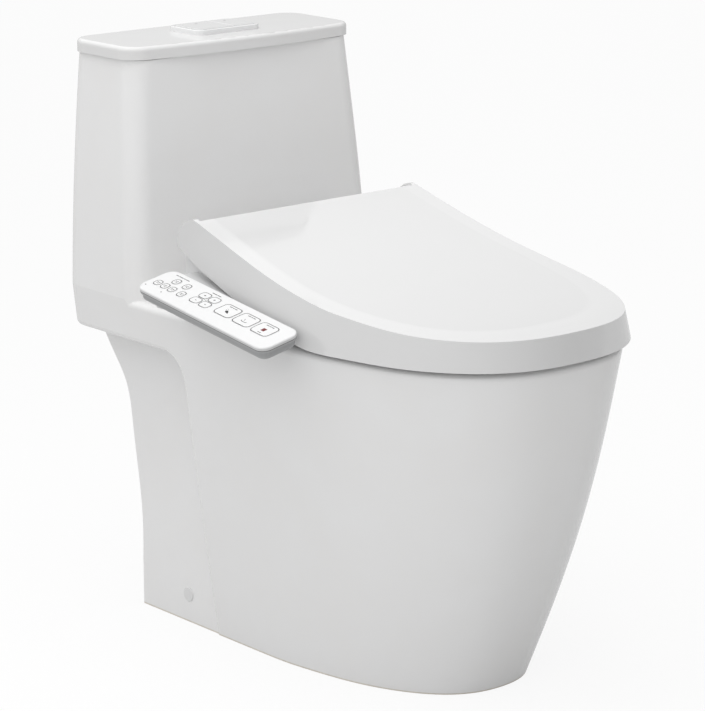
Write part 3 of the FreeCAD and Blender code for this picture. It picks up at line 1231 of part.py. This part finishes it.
nodes = {}
china = china_parts()
nodes["china_body"] = china[0]
nodes["china_basin"] = china[1]
nodes["china_rim"] = china[2]
nodes["china_tank"] = china[3]
nodes["trap_outlet_connector"] = trap_outlet_connector()
nodes["floor_brackets"] = floor_brackets()
nodes["side_fixing_screws"] = side_fixing_screws()
nodes["side_screw_caps"] = side_screw_caps()
nodes["tank_lid"] = tank_lid()
nodes["flush_bezel"] = flush_bezel()
nodes["bezel_nut"] = bezel_nut()
nodes["full_flush_button"] = flush_button(-1)
nodes["half_flush_button"] = flush_button(1)
nodes["flush_valve_gasket"] = flush_valve_gasket()
nodes["flush_valve_body"] = flush_valve_body()
nodes["overflow_tube"] = overflow_tube()
nodes["flush_seal"] = flush_seal()
nodes["full_flush_plunger"] = plunger(-1)
nodes["half_flush_plunger"] = plunger(1)
nodes["fill_valve_tower"] = fill_valve_tower()
nodes["fill_valve_nut"] = fill_valve_nut()
nodes["float_cup"] = float_cup()
nodes["float_lever"] = float_lever()
nodes["lid_shell"] = lid_shell()
nodes["lid_bumpers"] = lid_bumpers()
ring = seat_block()
nodes["seat_ring_top"] = seat_ring_top(ring)
nodes["seat_ring_base"] = seat_ring_base(ring)
nodes["seat_heater"] = heater_room(0)
nodes["seat_bumpers"] = seat_bumpers()
nodes["base_cover"] = base_cover()
nodes["base_tray"] = base_tray()
nodes["control_board"] = control_board()
nodes["water_heater_tank"] = water_heater_tank()
nodes["inlet_valve"] = inlet_valve()
nodes["water_inlet"] = water_inlet()
nodes["cord_gland"] = cord_gland()
nodes["hinge_pins"] = hinge_pins()
nodes["release_button"] = release_button()
nodes["rear_nozzle"] = nozzle(-1)
nodes["front_nozzle"] = nozzle(1)
nodes["nozzle_housing"] = nozzle_housing()
nodes["seat_mounting_plate"] = seat_mounting_plate()
nodes["seat_mounting_bolts"] = seat_mounting_bolts()
nodes["expansion_sleeves"] = expansion_sleeves()
nodes["panel_fascia"] = panel_fascia()
nodes["panel_tray"] = panel_tray()
nodes["panel_circuit_board"] = panel_circuit_board()
for place in key_places():
    nodes[place[0]] = panel_key(place)

os.makedirs("parts", exist_ok=True)
for name, shape in nodes.items():
    shape.exportStep("parts/" + name + ".step")
    print(name, len(shape.Solids), shape.isValid(), round(shape.Volume / 1000, 2))
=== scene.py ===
import math

import bpy
from mathutils import Matrix, Vector


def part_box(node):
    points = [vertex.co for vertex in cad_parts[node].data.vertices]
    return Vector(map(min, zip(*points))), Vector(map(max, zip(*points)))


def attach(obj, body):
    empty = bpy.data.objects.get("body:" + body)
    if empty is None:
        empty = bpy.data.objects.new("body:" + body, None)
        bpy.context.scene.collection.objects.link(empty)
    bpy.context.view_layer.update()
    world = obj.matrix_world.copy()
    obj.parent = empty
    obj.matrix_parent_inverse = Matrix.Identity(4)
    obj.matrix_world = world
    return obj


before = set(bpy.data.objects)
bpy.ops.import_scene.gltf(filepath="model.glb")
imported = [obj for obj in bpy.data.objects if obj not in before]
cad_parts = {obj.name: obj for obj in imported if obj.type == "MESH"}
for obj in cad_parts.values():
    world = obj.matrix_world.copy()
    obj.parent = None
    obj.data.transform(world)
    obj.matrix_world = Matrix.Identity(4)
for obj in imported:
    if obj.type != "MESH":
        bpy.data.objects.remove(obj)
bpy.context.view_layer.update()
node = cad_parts

# The camera stands in front of the bowl, on the control panel's side and a little above the lid,
# and looks at the middle of the toilet through a long lens, as in the catalogue picture.
viewpoint = Vector((-2.2081, -2.5851, 1.2130))
looks_at = Vector((-0.185346, -0.238447, 0.412217))
lens = bpy.data.cameras.new("catalogue_lens")
lens.lens = 150.9
lens.clip_start, lens.clip_end = 0.05, 120
camera = bpy.data.objects.new("catalogue_camera", lens)
camera.location = viewpoint
camera.rotation_euler = (looks_at - viewpoint).to_track_quat("-Z", "Y").to_euler()
bpy.context.scene.collection.objects.link(camera)
bpy.context.scene.camera = camera
bpy.context.scene.view_settings.view_transform = "Standard"


# The bowl, skirt and tank are one casting of vitreous china, glazed white all over and fired.
# The glaze pools a little, so the gloss is not quite even, and the foot ring under it is left raw.

class Socket:
    """A socket of a material's node tree; arithmetic on it adds Math nodes."""

    def __init__(self, tree, end=None):
        self.tree, self.end = tree, end

    def node(self, kind, settings=None, values=None, output=0):
        """Adds a node, sets it, links or sets its inputs, and gives the output asked for."""
        made = self.tree.nodes.new(kind)
        for name, setting in (settings or {}).items():
            setattr(made, name, setting)
        for name, value in (values or {}).items():
            if isinstance(value, Socket):
                self.tree.links.new(value.end, made.inputs[name])
            else:
                made.inputs[name].default_value = value
        return Socket(self.tree, made.outputs[output])

    def math(self, operation, first, second=0.0):
        return self.node("ShaderNodeMath", {"operation": operation}, {0: first, 1: second})

    def __add__(self, other):
        return self.math("ADD", self, other)

    def __sub__(self, other):
        return self.math("SUBTRACT", self, other)

    def __rsub__(self, other):
        return self.math("SUBTRACT", other, self)

    def __mul__(self, other):
        return self.math("MULTIPLY", self, other)

    def __truediv__(self, other):
        return self.math("DIVIDE", self, other)

    def __rtruediv__(self, other):
        return self.math("DIVIDE", other, self)

    def __pow__(self, other):
        return self.math("POWER", self, other)

    def __abs__(self):
        return self.math("ABSOLUTE", self)

    __radd__, __rmul__ = __add__, __mul__

    def ramp(self, low, high):
        """0 where the value is under low, 1 where it is over high."""
        return self.node("ShaderNodeMapRange", None,
                         {"Value": self, "From Min": low, "From Max": high})

    def mix(self, below, above):
        """Colour that goes from one to the other as the value goes from 0 to 1."""
        colour_result = 2
        return self.node("ShaderNodeMix", {"data_type": "RGBA"},
                         {"Factor": self, "A": below, "B": above}, colour_result)

    def place(self):
        """Where a point is on the product, in metres."""
        return self.node("ShaderNodeTexCoord", output="Object")

    def part(self, name):
        """One part, X, Y or Z, of a vector."""
        return self.node("ShaderNodeSeparateXYZ", None, {"Vector": self}, name)

    def axis(self, name):
        return self.place().part(name)

    def height_over(self, origin, direction):
        """Distance of a point from a plane, in metres."""
        reach = self.node("ShaderNodeVectorMath", {"operation": "DOT_PRODUCT"},
                          {0: self.place(), 1: direction}, "Value")
        return reach - sum(a * b for a, b in zip(origin, direction))

    def faces_up(self):
        """1 on the faces that look up on the closed product, 0 on its sides."""
        return self.node("ShaderNodeTexCoord", output="Normal").part("Z").ramp(0.45, 0.85)

    def noise(self, size, detail=2.0, stretch=(1, 1, 1)):
        """Soft blotches about as wide as size, in metres."""
        spread = self.node("ShaderNodeMapping", None, {"Vector": self.place(), "Scale": stretch})
        return self.node("ShaderNodeTexNoise", None,
                         {"Vector": spread, "Scale": 1 / size, "Detail": detail})

    def bump(self, height, depth):
        """Surface normal of a relief that is depth metres deep."""
        return self.node("ShaderNodeBump", None, {"Height": height, "Distance": depth})


def grey(level, warmth=0.0):
    """A neutral colour, a little red or blue by its warmth."""
    return (level * (1 + warmth), level, level * (1 - warmth), 1)


def finish(name, metallic=0.0, coat=0.0, coat_roughness=0.05, ior=1.5):
    """A new material, its sockets' helper and its shader's inputs."""
    made = bpy.data.materials.new(name)
    made.use_nodes = True
    shader = made.node_tree.nodes["Principled BSDF"].inputs
    shader["Metallic"].default_value = metallic
    shader["Coat Weight"].default_value = coat
    shader["Coat Roughness"].default_value = coat_roughness
    shader["IOR"].default_value = ior
    return made, Socket(made.node_tree), shader


def wire(shader, **values):
    """Links sockets, and sets plain values, on a material's shader."""
    for name, value in values.items():
        slot = shader[name.replace("_", " ")]
        if isinstance(value, Socket):
            value.tree.links.new(value.end, slot)
        else:
            slot.default_value = value


def dress(material, *names):
    """Gives CAD nodes a material."""
    for name in names:
        mesh = node[name].data
        mesh.materials.clear()
        mesh.materials.append(material)


def china_glaze(name, level):
    """White glaze down to the foot ring, where the bare biscuit shows."""
    made, s, shader = finish(name, coat=0.25, coat_roughness=0.03, ior=1.52)
    pooled = s.noise(0.09, 3.0).ramp(0.35, 0.65)
    glaze_ends, glaze_full = 0.0012, 0.0022
    raw = 1 - s.axis("Z").ramp(glaze_ends, glaze_full)
    glaze = pooled.mix(grey(level), grey(level * 0.985, 0.004))
    biscuit = s.noise(0.004, 5.0).mix((0.62, 0.57, 0.49, 1), (0.76, 0.72, 0.65, 1))
    wire(shader, Base_Color=raw.mix(glaze, biscuit), Roughness=0.085 + pooled * 0.035 + raw * 0.6,
         Normal=s.bump(s.noise(0.05, 1.0) + raw * s.noise(0.0012, 4.0) * 2, 0.00012))
    return made


body_glaze = china_glaze("vitreous_china_body", 0.90)
dress(body_glaze, "china_body", "china_basin", "china_rim", "china_tank")


# The tank lid is a second casting from the same clay, with a rolled edge all round.
# It lies loose on the tank; its glaze is a darker copy of the body's, painted shade that keeps its
# well-lit top from rendering brighter than the body.
tank_lid_shaded_glaze = china_glaze("vitreous_china_tank_lid", 0.82)
dress(tank_lid_shaded_glaze, "tank_lid")


# Below the floor line: a rubber socket for the waste pipe, zinc-plated angle brackets that are
# screwed to the floor, and white press-in caps over the two side screws.
def rubber(name, low, high):
    made, s, shader = finish(name)
    grain = s.noise(0.0009, 5.0)
    bloom = s.noise(0.02, 3.0)
    wire(shader, Base_Color=bloom.mix(low, high), Roughness=0.62 + grain * 0.14,
         Normal=s.bump(grain, 0.00008))
    return made


def plated_steel(name, level, brushed=(1, 1, 1), roughness=0.24):
    made, s, shader = finish(name, metallic=1.0)
    lines = s.noise(0.0016, 4.0, brushed)
    spangle = s.noise(0.008, 2.0)
    wire(shader, Base_Color=spangle.mix(grey(level * 0.9, 0.012), grey(level)),
         Roughness=roughness + lines * 0.16, Normal=s.bump(lines, 0.00002))
    return made


def moulded(name, low, high, roughness=0.32, texture=0.00002, size=0.0011):
    """Injection-moulded plastic straight from the tool, with its fine spark-eroded grain."""
    made, s, shader = finish(name)
    grain = s.noise(size, 4.0)
    flow = s.noise(0.03, 2.0)
    wire(shader, Base_Color=flow.mix(low, high), Roughness=roughness + grain * 0.1,
         Normal=s.bump(grain, texture))
    return made


black_rubber = rubber("black_rubber", grey(0.028), grey(0.042, 0.01))
zinc = plated_steel("zinc_plated_steel", 0.62)
cap_white = moulded("cap_white", grey(0.78), grey(0.80), 0.16)
dress(black_rubber, "trap_outlet_connector")
dress(zinc, "floor_brackets", "side_fixing_screws")
dress(cap_white, "side_screw_caps")


# Inside the tank: the flush valve with its lifting overflow pipe and the fill valve with its float.
# They are moulded in milky grey-white acetal, with black seals and a push rod under each button.
acetal = moulded("milky_acetal", (0.60, 0.64, 0.66, 1), (0.66, 0.69, 0.70, 1), 0.3)
grey_acetal = moulded("pale_grey_acetal", grey(0.48, -0.01), grey(0.54), 0.34)
blue_acetal = moulded("float_acetal", (0.52, 0.60, 0.68, 1), (0.57, 0.64, 0.71, 1), 0.3)
seal_rubber = rubber("seal_rubber", grey(0.022), grey(0.034))
dress(acetal, "flush_valve_body", "fill_valve_tower")
dress(grey_acetal, "overflow_tube", "full_flush_plunger", "half_flush_plunger", "fill_valve_nut",
      "bezel_nut")
dress(blue_acetal, "float_cup", "float_lever")
dress(seal_rubber, "flush_seal", "flush_valve_gasket")


# The flush plate stands 6 mm proud of the tank lid: a polished white frame round a split button.
# The larger button is the full flush, and each has one small printed dot near the wall.
def polished_plastic(name, level, roughness=0.09, coat=0.4, warmth=-0.002):
    """Polished ABS: an even white, a hard gloss and the faintest waviness from the mould."""
    made, s, shader = finish(name, coat=coat, coat_roughness=0.02, ior=1.53)
    wave = s.noise(0.06, 1.0)
    dust = s.noise(0.0018, 5.0).ramp(0.62, 0.8)
    wire(shader, Base_Color=wave.mix(grey(level, warmth), grey(level * 0.988, warmth)),
         Roughness=roughness + wave * 0.03 + dust * 0.04, Normal=s.bump(wave, 0.00006))
    return made


def thin_print(name, outlines, body, place, ink, depth=0.00006):
    """Flat printed marks: each outline is a list of points, or a pair of them for a ring."""
    vertices, faces = [], []
    for outline in outlines:
        rings = outline if isinstance(outline[0][0], tuple) else (outline,)
        first = len(vertices)
        for height in (depth, -depth):
            for ring in rings:
                vertices += [place @ Vector((x, y, height)) for x, y in ring]
        count = len(rings[0])
        if len(rings) == 1:
            faces.append([first + i for i in range(count)])
            faces += [[first + i, first + count + i, first + count + (i + 1) % count,
                       first + (i + 1) % count] for i in range(count)]
        else:
            for i in range(count):
                j = (i + 1) % count
                faces.append([first + i, first + j, first + count + j, first + count + i])
                faces.append([first + j, first + i, first + 2 * count + i, first + 2 * count + j])
                faces.append([first + count + i, first + count + j, first + 3 * count + j,
                              first + 3 * count + i])
    mesh = bpy.data.meshes.new(name)
    mesh.from_pydata([tuple(v) for v in vertices], [], faces)
    mesh.update()
    mesh.materials.append(ink)
    piece = bpy.data.objects.new(name, mesh)
    bpy.context.scene.collection.objects.link(piece)
    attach(piece, body)
    return piece


def disc(x, y, radius, count=24):
    turns = [2 * math.pi * i / count for i in range(count)]
    return [(x + radius * math.cos(turn), y + radius * math.sin(turn)) for turn in turns]


def printing_ink(name, colour, shade=0.85):
    made, s, shader = finish(name)
    patchy = s.noise(0.0006, 3.0)
    wire(shader, Base_Color=patchy.mix(colour, tuple(c * shade for c in colour[:3]) + (1,)),
         Roughness=0.42 + patchy * 0.1)
    return made


button_white = polished_plastic("button_white", 0.84)
dress(button_white, "flush_bezel", "full_flush_button", "half_flush_button")
dot_ink = printing_ink("dot_ink", grey(0.30))
dot_radius, dot_from_edge = 0.0016, 0.011
for button in ("full_flush_button", "half_flush_button"):
    low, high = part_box(button)
    mark = Matrix.Translation(((low.x + high.x) / 2, high.y - dot_from_edge, high.z))
    thin_print(button + "_dot", [disc(0, 0, dot_radius)], button, mark, dot_ink)


# The seat unit is fixed by a steel plate on the deck, two expanding bolts and their rubber sleeves.
# The unit slides onto the plate and is freed by a grey push button low on its left end.
dress(plated_steel("plate_steel", 0.6, (1, 12, 1), 0.26), "seat_mounting_plate")
dress(zinc, "seat_mounting_bolts")
dress(black_rubber, "expansion_sleeves")


# The base unit: a polished white cover with the hinge barrel along its rear, on a moulded tray.
# Steel shafts stand out of the barrel's closed ends and carry the ears of seat and lid.
cover_white = polished_plastic("cover_white", 0.78, 0.12)
tray_white = moulded("tray_white", grey(0.70), grey(0.73), 0.34, 0.00003)
pin_steel = plated_steel("pin_steel", 0.66, (20, 1, 1), 0.2)
dress(cover_white, "base_cover")
dress(tray_white, "base_tray")
dress(pin_steel, "hinge_pins")
dress(moulded("release_grey", grey(0.24), grey(0.27), 0.36), "release_button")


# On the unit's left end: a half-inch brass stub for the wash water; behind, a rubber cord grommet.
# Inside are the solenoid valve, the small heater tank and the green control board.
def turned_brass(name):
    made, s, shader = finish(name, metallic=1.0)
    bands_to_metre = 90.0
    ridges = s.node("ShaderNodeTexWave", {"bands_direction": "X"},
                    {"Vector": s.place(), "Scale": bands_to_metre, "Distortion": 0.0})
    dull = s.noise(0.006, 4.0)
    wire(shader, Base_Color=dull.mix((0.62, 0.43, 0.18, 1), (0.74, 0.56, 0.27, 1)),
         Roughness=0.24 + dull * 0.2, Normal=s.bump(ridges, 0.0003))
    return made


def circuit_board(name, pitch):
    """Green solder mask over copper tracks, with a grid of tinned pads."""
    made, s, shader = finish(name)
    bricks = s.node("ShaderNodeTexBrick", {"offset": 0.5},
                    {"Vector": s.place(), "Scale": 1 / pitch, "Mortar Size": 0.06,
                     "Color1": grey(0), "Color2": grey(0.3), "Mortar": grey(1)}, "Fac")
    dots = s.node("ShaderNodeTexVoronoi", None, {"Vector": s.place(), "Scale": 1 / (pitch * 0.8)})
    pad = 1 - dots.ramp(0.14, 0.18)
    board = bricks.mix((0.012, 0.11, 0.045, 1), (0.03, 0.20, 0.08, 1))
    wire(shader, Base_Color=pad.mix(board, grey(0.62)), Roughness=0.34 - pad * 0.1, Metallic=pad * 0.9,
         Normal=s.bump(bricks + pad, 0.00005))
    return made


inner_plastic = moulded("inner_plastic", grey(0.60, 0.02), grey(0.66, 0.015), 0.4)
dress(turned_brass("turned_brass"), "water_inlet")
dress(black_rubber, "cord_gland")
dress(inner_plastic, "inlet_valve", "water_heater_tank", "nozzle_housing")
dress(circuit_board("main_board", 0.008), "control_board")
dress(circuit_board("key_board", 0.006), "panel_circuit_board")


# Two slim stainless wash nozzles slide out of the housing, down over the bowl.
# They are drawn tube, polished along their length.
dress(plated_steel("nozzle_stainless", 0.72, (8, 1, 1), 0.12), "rear_nozzle", "front_nozzle")


# The heated seat is a hollow ring of two welded mouldings, with a foil heater under its top.
# It rests on soft white pads and turns on the barrel's shafts with two flat arms.
def heater_foil(name):
    made, s, shader = finish(name, metallic=1.0)
    across = s.node("ShaderNodeTexWave", {"bands_direction": "DIAGONAL"},
                    {"Vector": s.place(), "Scale": 14.0, "Distortion": 2.0}).ramp(0.42, 0.58)
    crinkle = s.noise(0.004, 4.0)
    wire(shader, Base_Color=across.mix(grey(0.70), grey(0.55, 0.02)), Roughness=0.25 + crinkle * 0.2,
         Normal=s.bump(crinkle + across, 0.0001))
    return made


seat_white = polished_plastic("seat_white", 0.83, 0.14, 0.3)
white_rubber = rubber("white_rubber", grey(0.62, 0.01), grey(0.68, 0.01))
dress(seat_white, "seat_ring_top", "seat_ring_base")
dress(heater_foil("heater_foil"), "seat_heater")
dress(white_rubber, "seat_bumpers", "lid_bumpers")


# The seat lid is one deep moulding in polished urea white, the glossiest piece of the product.
# A crisp line runs round it between the top and the skirt, and the top bends down a little
# along its border. Its colour holds painted light and shade: a lighter strip along that border,
# a painted highlight on the rear edge, and sides darker at -X and lighter toward +X.
def lid_moulding(name, level):
    made, s, shader = finish(name, coat=0.5, coat_roughness=0.02, ior=1.53)
    wave = s.noise(0.06, 1.0)
    x, y = s.axis("X"), s.axis("Y")
    widest_y, hinge_y = -0.118, 0.09
    widest_half, narrowing, nose_length, roundness = 0.1897, 0.014, 0.279, 2.5
    half_width = widest_half - y.ramp(widest_y, hinge_y) * narrowing
    ahead = s.math("MAXIMUM", widest_y - y, 0.0)
    outward = (abs(x) / half_width) ** roundness + (ahead / nose_length) ** roundness
    from_middle = outward ** (1 / roundness)
    # Painted light: the second ramp colours the top 5% lighter along its border; the first gives the
    # real bend of the relief.
    border, painted_border_light = from_middle.ramp(0.80, 1.0), from_middle.ramp(0.79, 0.83)
    top = painted_border_light.mix(grey(level), grey(level * 1.05))
    # Painted highlight: a thin line along the lid's rear edge is coloured 10% lighter.
    rear_edge_painted_highlight = y.ramp(0.052, 0.056)
    top = rear_edge_painted_highlight.mix(top, grey(level * 1.1))
    # Painted shade and light: the skirt is coloured 10% darker on the -X side and 10% lighter toward
    # the +X end, and faces_up puts this colour on the sides in place of the top's.
    skirt = x.ramp(0.0, 0.12).mix(grey(level * 0.9), grey(level * 1.1))
    wire(shader, Base_Color=s.faces_up().mix(skirt, top), Roughness=0.07 + wave * 0.03,
         Normal=s.bump(wave - border * 24, 0.00006))
    return made


dress(lid_moulding("lid_white", 0.80), "lid_shell")


# The control panel stands on an arm at the user's right: a satin white fascia on a grey tray.
# Thirteen keys lie a hair proud of it, each in its own well.
panel_middle = (-0.221, -0.0485, 0.435)
panel_normal = (-0.2164, -0.1325, 0.9673)


def two_tone_fascia_painted_shade(name, white, side, shade, seam_depth=0.0050):
    """A white lip with painted shade on its side, over a grey lower wall, with the dark joint line
    between them.
    """
    made, s, shader = finish(name)
    grain = s.noise(0.0011, 4.0)
    height = s.height_over(panel_middle, panel_normal)
    joint_width, blur = 0.0008, 0.0001
    low, high = -seam_depth, joint_width - seam_depth
    lip = height.ramp(low - blur, low + blur)
    joint = lip - height.ramp(high - blur, high + blur)
    # Painted shade: from about 1.2 to 2.2 mm under the top down to the joint, the white lip's side is
    # coloured darker.
    edge = height.ramp(-0.0022, -0.0012).mix(side, white)
    wire(shader, Base_Color=joint.mix(lip.mix(shade, edge), grey(0.12)),
         Roughness=0.3 + grain * 0.1, Normal=s.bump(grain, 0.00001))
    return made


key_white = moulded("key_white", grey(0.86, -0.002), grey(0.875, -0.002), 0.3, 0.00001)
tray_grey = moulded("tray_grey", grey(0.38, -0.015), grey(0.41, -0.012), 0.34, 0.00002)
dress(key_white, *[name for name in node if name.endswith("_key")])
# grey(0.66) is painted shade for the lip's side; grey(0.42) is the grey of the wall under the joint.
fascia_white = two_tone_fascia_painted_shade("fascia_white", grey(0.865, -0.002), grey(0.66, -0.004),
                               grey(0.42, -0.012))
dress(fascia_white, "panel_fascia")
dress(tray_grey, "panel_tray")


# The keys are printed in dark grey: a fine outline, a line of small label dashes and an icon.
# The stop key has a red square, and the labels are plain dashes rather than words.
panel_tilt, panel_slope, key_height = 7.8, -12.5, 0.00025
to_panel = (Matrix.Translation(panel_middle) @ Matrix.Rotation(math.radians(panel_tilt), 4, "X")
            @ Matrix.Rotation(math.radians(panel_slope), 4, "Y"))
key_top = to_panel @ Matrix.Translation((0, 0, key_height))
outline_ink = printing_ink("outline_ink", grey(0.08))
label_ink = printing_ink("label_ink", grey(0.08))
icon_ink = printing_ink("icon_ink", grey(0.02))
stop_red = printing_ink("stop_red", (0.17, 0.006, 0.008, 1))


def mm(*sizes):
    """Millimetres on the panel, as metres."""
    return tuple(size * 0.001 for size in sizes)


def rounded(x, y, width, length, radius, corner_steps=6):
    points = []
    for turn, sx, sy in ((0, 1, 1), (1, -1, 1), (2, -1, -1), (3, 1, -1)):
        for i in range(corner_steps + 1):
            angle = (turn + i / corner_steps) * math.pi / 2
            points.append((x + sx * (width / 2 - radius) + radius * math.cos(angle),
                           y + sy * (length / 2 - radius) + radius * math.sin(angle)))
    return points


def key_outline(x, y, width, length, radius, line, inset=0.0001):
    """A ring just inside a key's edge."""
    rings = []
    for inward in (inset, inset + line):
        rings.append(rounded(x, y, width - 2 * inward, length - 2 * inward, radius - inward))
    return tuple(rings)


def bar(x, y, width, length):
    return [(x - width / 2, y - length / 2), (x + width / 2, y - length / 2),
            (x + width / 2, y + length / 2), (x - width / 2, y + length / 2)]


def stroke(points, width):
    """A line of even width through a few points."""
    left, right = [], []
    for i, (x, y) in enumerate(points):
        ax, ay = points[max(i - 1, 0)]
        bx, by = points[min(i + 1, len(points) - 1)]
        away = math.hypot(bx - ax, by - ay)
        nx, ny = -(by - ay) / away * width / 2, (bx - ax) / away * width / 2
        left.append((x + nx, y + ny))
        right.append((x - nx, y - ny))
    return left + right[::-1]


def label(x, y, length, words, height=0.0011, gap=0.0009):
    """A line of dashes that stands for small print, along the panel."""
    total = sum(words)
    marks, start = [], y - length / 2
    for share in words:
        run = (length - gap * (len(words) - 1)) * share / total
        marks.append(bar(x, start + run / 2, height, run))
        start += run + gap
    return marks


def panel_print(name, body, marks, ink):
    return thin_print(name, marks, body, key_top, ink)


big_keys = {"stop_key": -80.0, "rear_wash_key": -47.5, "front_wash_key": -15.0}
big_key_x, big_key_size, big_key_line = 4.5, (24, 29, 6), 0.9
for name, y in big_keys.items():
    outline = key_outline(*mm(big_key_x, y, *big_key_size, big_key_line))
    panel_print(name + "_outline", name, [outline], outline_ink)
    panel_print(name + "_label", name, label(*mm(12.6, y, 13), (5, 3, 6)), label_ink)

# The three large keys carry an icon each, away from the label.
panel_print("stop_key_square", "stop_key", [bar(*mm(3.2, -80, 5.8, 5.4))], stop_red)
panel_print("stop_key_word", "stop_key", label(*mm(-3.6, -80, 5), (1, 1)), label_ink)
bend_steps = 12
bend = [math.radians(90 + 180 * i / bend_steps) for i in range(bend_steps + 1)]
cup = [mm(1.2 + 1.6 * math.cos(turn), -47.5 + 4.6 * math.sin(turn)) for turn in bend]
spray = [mm(2.6, -46.2), mm(5.2, -45.2)]
panel_print("rear_wash_key_icon", "rear_wash_key", [stroke(cup, *mm(0.8)), stroke(spray, *mm(0.7))],
            icon_ink)
drop = [mm(-0.5, -19.5), mm(2.6, -17.8), mm(5.2, -14.6), mm(3.4, -12.2), mm(1.2, -13.4)]
droplets = ((6.4, -13.2, 0.8, 0.8), (5.2, -11.2, 0.8, 0.8), (7.4, -11.4, 0.7, 0.7))
panel_print("front_wash_key_icon", "front_wash_key", [drop] + [bar(*mm(*spot)) for spot in droplets],
            icon_ink)

# The four middle keys raise and lower the pressure and shift the nozzle; the six small ones
# switch heat, dryer and light. Indicator dots and heading dashes stand beside them on the fascia.
middle_keys = {"pressure_up_key": (10.5, 17.0), "pressure_down_key": (-3.0, 17.0),
               "nozzle_forward_key": (10.5, 34.0), "nozzle_back_key": (-3.0, 34.0)}
middle_key_size, small_key_size, key_line = (12.5, 15.5, 5), (11.5, 10.5, 4.5), 0.75
for name, (x, y) in middle_keys.items():
    outline = key_outline(*mm(x, y, *middle_key_size, key_line))
    panel_print(name + "_outline", name, [outline], outline_ink)
    signs = [bar(*mm(x, y, 0.8, 2.6))]
    if name in ("pressure_up_key", "nozzle_forward_key"):
        signs = [bar(*mm(x, y, 2.6, 0.8))] + signs
    panel_print(name + "_sign", name, signs, label_ink)

small_keys = {"power_key": (-5.0, 101.0), "seat_heat_key": (-5.0, 88.0), "water_heat_key": (-5.0, 75.0),
              "dry_key": (-5.0, 58.0), "light_key": (10.0, 86.0), "move_key": (10.0, 67.0)}
for name, (x, y) in small_keys.items():
    outline = key_outline(*mm(x, y, *small_key_size, key_line))
    panel_print(name + "_outline", name, [outline], outline_ink)
    words = label(*mm(x + 1.0, y, 4.6), (2, 2)) + label(*mm(x - 1.2, y, 4.0), (3, 1), *mm(0.8))
    panel_print(name + "_label", name, words, label_ink)

headings = (label(*mm(20.5, 88, 24), (4, 2, 5, 3)) + label(*mm(20.5, 25.5, 15), (3, 4))
            + label(*mm(3.8, 25.5, 4), (1, 1), *mm(0.8)))
thin_print("panel_headings", headings, "base_unit", to_panel, label_ink)
lights = [disc(*mm(-17, 109, 1)), disc(*mm(-17, 80, 1))]
thin_print("panel_indicators", lights, "base_unit", to_panel, dot_ink)


# The room: a plain pale floor and nothing behind it but white.
# The floor keeps the toilet's soft shadow, and it looks as white as the paper to camera and gloss.
def room_surface(name):
    made = bpy.data.materials.new(name)
    made.use_nodes = True
    tree = made.node_tree
    s = Socket(tree)
    tree.nodes.remove(tree.nodes["Principled BSDF"])
    mottle = s.noise(0.8, 2.0)
    matte = s.node("ShaderNodeBsdfDiffuse", None, {"Color": mottle.mix(grey(0.66), grey(0.65))})
    paper = s.node("ShaderNodeEmission", None, {"Color": grey(1.0), "Strength": 1.08})
    seen = s.node("ShaderNodeLightPath", output="Is Camera Ray")
    glossy = s.node("ShaderNodeLightPath", output="Is Glossy Ray")
    paper_to_camera, paper_to_gloss = 0.8, 0.35
    shown = seen * paper_to_camera + glossy * paper_to_gloss
    surface = s.node("ShaderNodeMixShader", None, {0: shown, 1: matte, 2: paper})
    tree.links.new(surface.end, tree.nodes["Material Output"].inputs["Surface"])
    return made


floor_mesh = bpy.data.meshes.new("floor")
reach = 40
floor_mesh.from_pydata([(-reach, -reach, 0), (reach, -reach, 0), (reach, reach, 0), (-reach, reach, 0)],
                       [], [(0, 1, 2, 3)])
floor_mesh.materials.append(room_surface("pale_floor"))
floor = bpy.data.objects.new("floor", floor_mesh)
bpy.context.scene.collection.objects.link(floor)


# The light: a white room that is dimmer on the right and to the front, a broad soft box over the
# viewer's left shoulder and one above the hinges, so that the right side falls off into a soft grey.
world = bpy.data.worlds.new("white_room")
world.use_nodes = True
bpy.context.scene.world = world
air = Socket(world.node_tree)
backdrop = world.node_tree.nodes["Background"]
to_camera = air.node("ShaderNodeLightPath", output="Is Camera Ray")
in_gloss = air.node("ShaderNodeLightPath", output="Is Glossy Ray")
heading = air.node("ShaderNodeTexCoord", output="Generated")
right, away, up = (heading.part(name) for name in "XYZ")
horizon, ceiling, right_fall, rear_rise, gloss_lift = 0.27, 0.72, 0.26, 0.07, 0.35
room_level = (horizon + up.ramp(0.0, 0.9) * ceiling - right * right_fall + away * rear_rise
              + in_gloss * gloss_lift)
backdrop.inputs["Color"].default_value = (1, 1, 1, 1)
level = to_camera + (1 - to_camera) * room_level
world.node_tree.links.new(level.end, backdrop.inputs["Strength"])


def soft_box(name, place, target, width, height, watts):
    lamp = bpy.data.lights.new(name, "AREA")
    lamp.shape, lamp.size, lamp.size_y, lamp.energy = "RECTANGLE", width, height, watts
    made = bpy.data.objects.new(name, lamp)
    made.visible_glossy = False
    made.location = place
    made.rotation_euler = (Vector(target) - Vector(place)).to_track_quat("-Z", "Y").to_euler()
    bpy.context.scene.collection.objects.link(made)


soft_box("left_soft_box", (-1.5, -1.3, 1.3), (0, 0, 0.35), 1.6, 1.6, 6)
soft_box("top_soft_box", (-0.2, 0.1, 1.7), (-0.05, 0, 0.45), 1.2, 1.2, 5)
